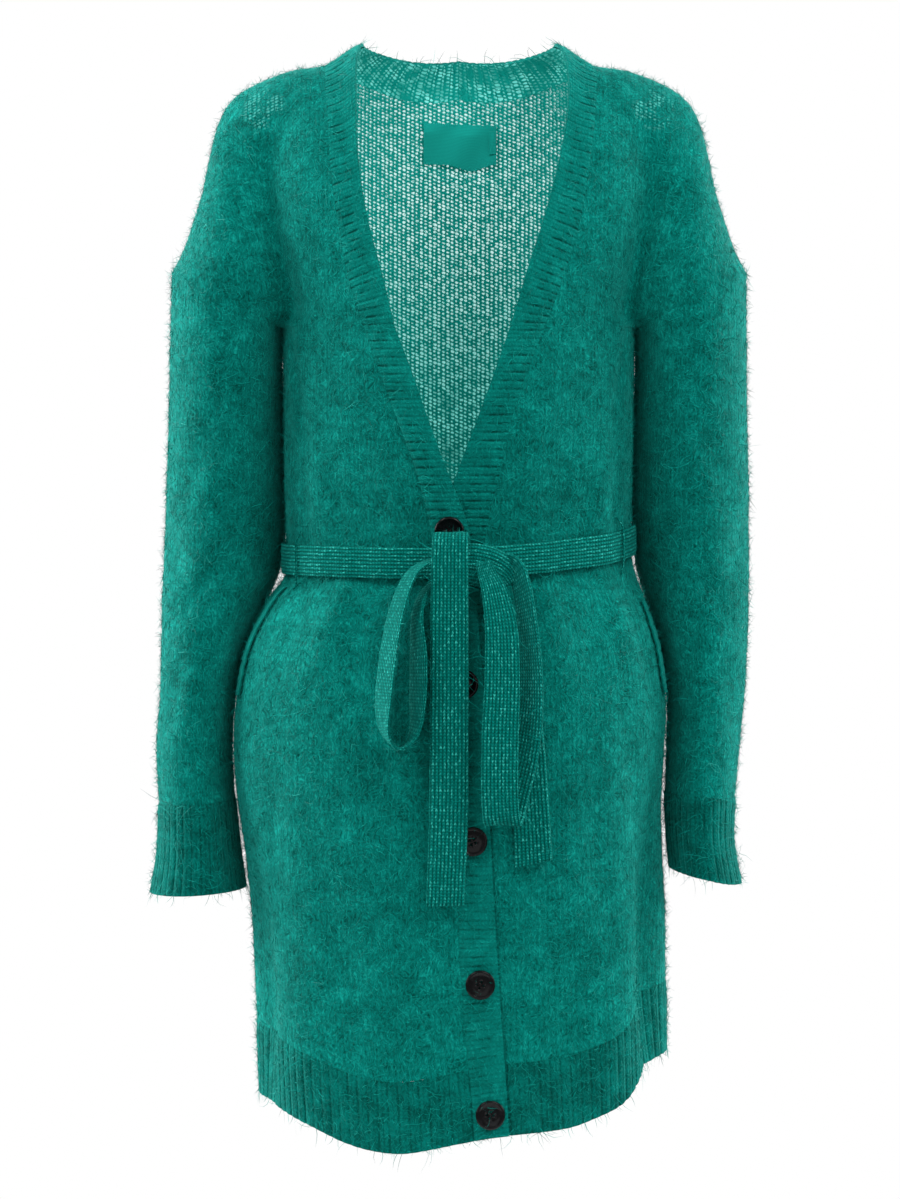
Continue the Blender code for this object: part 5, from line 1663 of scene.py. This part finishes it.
class CARDIGAN_OT_buttons(bpy.types.Operator):
    """Turn the five buttons and sew them on"""

    bl_idname = "cardigan.buttons"
    bl_label = "Buttons"

    def execute(self, context):
        settings = context.scene.cardigan
        finish = material_of(settings, "polished_button")
        b = settings.button
        face = b.thickness - b.dish
        for number, height in enumerate(BUTTON_LEVELS, start=1):
            base, n = front_frame(height)
            base = base + n * (OVER_LIFT + settings.rib.height + 0.0004)
            profile = (
                (0.0, 0.0),
                (b.radius * 0.80, 0.0),
                (b.radius * 0.93, b.thickness * 0.14),
                (b.radius, b.thickness * 0.45),
                (b.radius * 0.985, b.thickness * 0.78),
                (b.radius * 0.93, b.thickness * 0.96),
                (b.radius - b.rim * 0.6, b.thickness),
                (b.radius - b.rim, b.thickness * 0.93),
                (b.radius - b.rim * 1.35, face),
                (b.radius * 0.45, face * 0.97),
                (0.0, face * 0.95),
            )
            bm = bmesh.new()
            verts = [bm.verts.new((r, 0.0, h)) for r, h in profile]
            edges = [bm.edges.new(pair) for pair in zip(verts, verts[1:])]
            bmesh.ops.spin(
                bm, geom=verts + edges, cent=(0, 0, 0), axis=(0, 0, 1),
                angle=math.tau, steps=56, use_merge=True,
            )
            bmesh.ops.remove_doubles(bm, verts=bm.verts, dist=0.00001)
            bmesh.ops.recalc_face_normals(bm, faces=bm.faces)
            turn = Vector((0, 0, 1)).rotation_difference(n).to_matrix().to_4x4()
            turn.translation = base
            bmesh.ops.transform(bm, matrix=turn, verts=bm.verts)
            button = link(bm, f"turned_button_{number}", finish, CRISP_BUTTON)
            cutter = bmesh.new()
            for quarter in range(4):
                way = math.radians(45 + 90 * quarter + 8 * number)
                spot = Vector((b.spread * math.cos(way), b.spread * math.sin(way), 0.5 * b.thickness))
                made = bmesh.ops.create_cone(
                    cutter, cap_ends=True, segments=16, radius1=b.hole, radius2=b.hole, depth=3 * b.thickness
                )
                bmesh.ops.translate(cutter, verts=made["verts"], vec=spot)
            bmesh.ops.transform(cutter, matrix=turn, verts=cutter.verts)
            drill = link(cutter, f"drill_{number}", finish)
            cut = button.modifiers.new("Holes", "BOOLEAN")
            cut.object = drill
            cut.operation = "DIFFERENCE"
            evaluated = button.evaluated_get(context.evaluated_depsgraph_get())
            drilled = bpy.data.meshes.new_from_object(evaluated)
            button.modifiers.clear()
            button.data = drilled
            bpy.data.objects.remove(drill, do_unlink=True)
            dress(button, (f"button_{number}",))
            self.sew(settings, number, turn, face)
        return {"FINISHED"}

    def sew(self, settings, number, turn, face):
        """Two bars of black thread through the four holes."""
        b = settings.button
        bm = bmesh.new()
        for pair in (0, 1):
            start = math.radians(45 + 180 * pair + 8 * number)
            end = start + math.pi / 2
            rows = []
            first = np.array((math.cos(start), math.sin(start)))
            last = np.array((math.cos(end), math.sin(end)))
            for t in np.linspace(0, 1, 9):
                spot = first * (1 - t) + last * t
                arch = face + 0.0004 * math.sin(math.pi * t) + (-0.0016 if t in (0.0, 1.0) else 0.0)
                rows.append(Vector((*(spot * b.spread), arch)))
            rings = []
            for i, spot in enumerate(rows):
                way = (rows[min(i + 1, 8)] - rows[max(i - 1, 0)]).normalized()
                made = bmesh.ops.create_circle(bm, segments=8, radius=0.00042)
                spin = Vector((0, 0, 1)).rotation_difference(way).to_matrix()
                bmesh.ops.rotate(bm, verts=made["verts"], cent=(0, 0, 0), matrix=spin)
                bmesh.ops.translate(bm, verts=made["verts"], vec=spot)
                rings.append({e for v in made["verts"] for e in v.link_edges})
            for low, high in zip(rings, rings[1:]):
                bmesh.ops.bridge_loops(bm, edges=list(low | high))
        bmesh.ops.holes_fill(bm, edges=bm.edges, sides=0)
        bmesh.ops.recalc_face_normals(bm, faces=bm.faces)
        bmesh.ops.transform(bm, matrix=turn, verts=bm.verts)
        dress(link(bm, f"button_thread_{number}", material_of(settings, "polished_button")), ())


class CARDIGAN_OT_label(bpy.types.Operator):
    """Sew the bare label and its size tab inside the back of the neck"""

    bl_idname = "cardigan.label"
    bl_label = "Label"

    def execute(self, context):
        settings = context.scene.cardigan
        label = settings.label
        satin_cloth = material_of(settings, "label_satin")
        patch = (LABEL["x"], LABEL["top"], LABEL["width"], LABEL["height"])
        points = self.points(patch, label.wave, 0.0, LABEL["slump"])
        core = points.mean(1) + BEHIND
        cloth("woven_label", points, "label", satin_cloth, label.thickness * 0.6, core)
        points = self.points(SIZE_TAB, TAB_WAVE, TAB_LIFT, 0.0)
        core = points.mean(1) + BEHIND
        normals = outward(points, grid_normals(points), core)
        tab = grid_mesh("size_tab", points, normals, satin_cloth)
        dress(thicken(tab, 0.0004), ())
        return {"FINISHED"}

    def points(self, patch, wave, lift, slump):
        """A patch on the inner face of the back, waving and slumping a little."""
        x, top, width, height = patch
        across, down = np.meshgrid(np.linspace(-0.5, 0.5, 41), np.linspace(0, 1, 25))
        dip = np.exp(-(((across - 0.15) / 0.2) ** 2))
        sag = slump * (0.5 * (across + 0.5) * (1 - down) + down * dip)
        xs, zs = x + across * width, top - down * height - sag
        side = np.where(xs < 0, -1, 1)
        way, turn = np.abs(xs) / 0.25, np.full(xs.shape, 130.0)
        for _ in range(14):
            p = yoke_point(side, way, turn)
            way = np.maximum(way + (np.abs(xs) - np.abs(p[..., 0])) * 3.0, 0.0)
            turn = np.clip(turn + (p[..., 2] - zs) * 160.0, 95.0, 179.0)
        p = yoke_point(side, way, turn)
        p[..., 1] -= 0.0025 + LABEL["stand"] + 0.0007 + lift
        ripple = 0.5 - 0.5 * np.cos(math.tau * (1.6 * across + 0.5 * down + 0.2))
        p[..., 1] -= wave * ripple * np.minimum(1, down * 4)
        p[..., 0], p[..., 2] = xs, zs
        return p[::-1]


class CARDIGAN_OT_thread_loops(bpy.types.Operator):
    """Twist the thread loops that carry the belt"""

    bl_idname = "cardigan.thread_loops"
    bl_label = "Thread loops"

    def execute(self, context):
        settings = context.scene.cardigan
        thread, belt = settings.belt.thread, settings.belt.thickness
        for name, angle in THREAD_LOOPS:
            height = float(read(BELT_LINE, angle, 1))
            n = out_of(np.array([float(angle)]))[0]
            out = plain_waist(np.array([float(angle)]), np.array([height]))[0]
            out = out + n * (BELT_CLEAR + belt + thread)
            way = []
            for lift, stand in THREAD_WAY:
                z = height + lift * BELT_HALF
                on_cloth = section_point(angle, z) + n * (0.5 * thread + 0.0006)
                way.append(on_cloth * (1 - stand) + np.array((out[0], out[1], z)) * stand)
            centre = along(way, np.linspace(0, 1, 121))
            forward = unit(np.gradient(centre, axis=0))
            wide = unit(np.cross(forward, n))
            thick = np.cross(forward, wide)
            turn = np.linspace(0, math.tau, 17)
            twist = np.linspace(0, 13 * math.tau, len(centre))
            size = thread / 2 * (0.80 + 0.20 * np.cos(2 * (turn[None, :] - twist[:, None] / 2)))
            size[0] = size[-1] = 0.0
            points = centre[:, None, :] + wide[:, None, :] * (size * np.cos(turn))[..., None]
            points = points + thick[:, None, :] * (size * np.sin(turn))[..., None]
            normals = outward(points, grid_normals(points, True), points.mean(1))
            material = material_of(settings, "belt_knit")
            obj = grid_mesh(f"twisted_{name}", points, normals, material, ring=True, caps=True)
            dress(obj, (name,))
        return {"FINISHED"}


class CARDIGAN_OT_nap(bpy.types.Operator):
    """Brush up the mohair: lay loose fibres over every knitted piece"""

    bl_idname = "cardigan.nap"
    bl_label = "Nap"

    def execute(self, context):
        settings = context.scene.cardigan
        material = material_of(settings, "mohair_fibre")
        # surface, share of the full density and of the full height
        shares = (
            ("knit_front_right", 1.0, 1.0),
            ("knit_front_left", 1.0, 1.0),
            ("knit_back", 0.62, 1.0),
            ("knit_sleeve_right", 1.0, 1.0),
            ("knit_sleeve_left", 1.0, 1.0),
            ("knit_cuff_right", 0.8, 1.0),
            ("knit_cuff_left", 0.8, 1.0),
            ("knit_hem_right", 0.8, 1.0),
            ("knit_hem_left", 0.8, 1.0),
            ("knit_hem_back", 0.7, 1.0),
            ("knit_band_right", 0.8, 0.8),
            ("knit_band_left", 0.8, 0.8),
            ("knit_neck_band", 0.6, 0.6),
            ("knit_belt", 0.3, 0.4),
            ("knit_belt_tail_right", 0.3, 0.4),
            ("knit_belt_tail_left", 0.3, 0.4),
            ("knit_belt_loop_right", 0.3, 0.4),
            ("knit_belt_loop_left", 0.3, 0.4),
            ("knit_belt_knot", 0.3, 0.4),
        )
        for seed, (name, share, rise) in enumerate(shares, start=1):
            points, normals = surfaces[name]
            count = int(grid_area(points) * settings.nap.density * share)
            hairs(name.replace("knit_", "nap_"), points, normals, material, count, settings.nap, seed, rise)
        return {"FINISHED"}


class CARDIGAN_PT_build(bpy.types.Panel):
    """Lists the pieces of the cardigan and their sizes"""

    bl_label = "Cardigan"
    bl_idname = "CARDIGAN_PT_build"
    bl_space_type = "VIEW_3D"
    bl_region_type = "UI"
    bl_category = "Cardigan"

    def draw(self, context):
        for operator in OPERATORS:
            self.layout.operator(operator.bl_idname)
        settings = context.scene.cardigan
        for name in CardiganSettings.__annotations__:
            group = getattr(settings, name)
            box = self.layout.box()
            for key in group.__annotations__:
                box.prop(group, key)


OPERATORS = (
    CARDIGAN_OT_stage,
    CARDIGAN_OT_back,
    CARDIGAN_OT_fronts,
    CARDIGAN_OT_sleeves,
    CARDIGAN_OT_hem,
    CARDIGAN_OT_bands,
    CARDIGAN_OT_belt,
    CARDIGAN_OT_pockets,
    CARDIGAN_OT_buttons,
    CARDIGAN_OT_label,
    CARDIGAN_OT_thread_loops,
    CARDIGAN_OT_nap,
)
GROUPS = (
    KnitSettings,
    RibSettings,
    NapSettings,
    BeltSettings,
    ButtonSettings,
    LabelSettings,
    ColourSettings,
    StageSettings,
    CardiganSettings,
)


def register():
    for each in (*GROUPS, *OPERATORS, CARDIGAN_PT_build):
        bpy.utils.register_class(each)
    bpy.types.Scene.cardigan = bpy.props.PointerProperty(type=CardiganSettings)


def unregister():
    del bpy.types.Scene.cardigan
    for each in reversed((*GROUPS, *OPERATORS, CARDIGAN_PT_build)):
        bpy.utils.unregister_class(each)


def main():
    register()
    for operator in OPERATORS:
        getattr(bpy.ops.cardigan, operator.bl_idname.split(".")[1])()


if __name__ == "__main__":
    main()
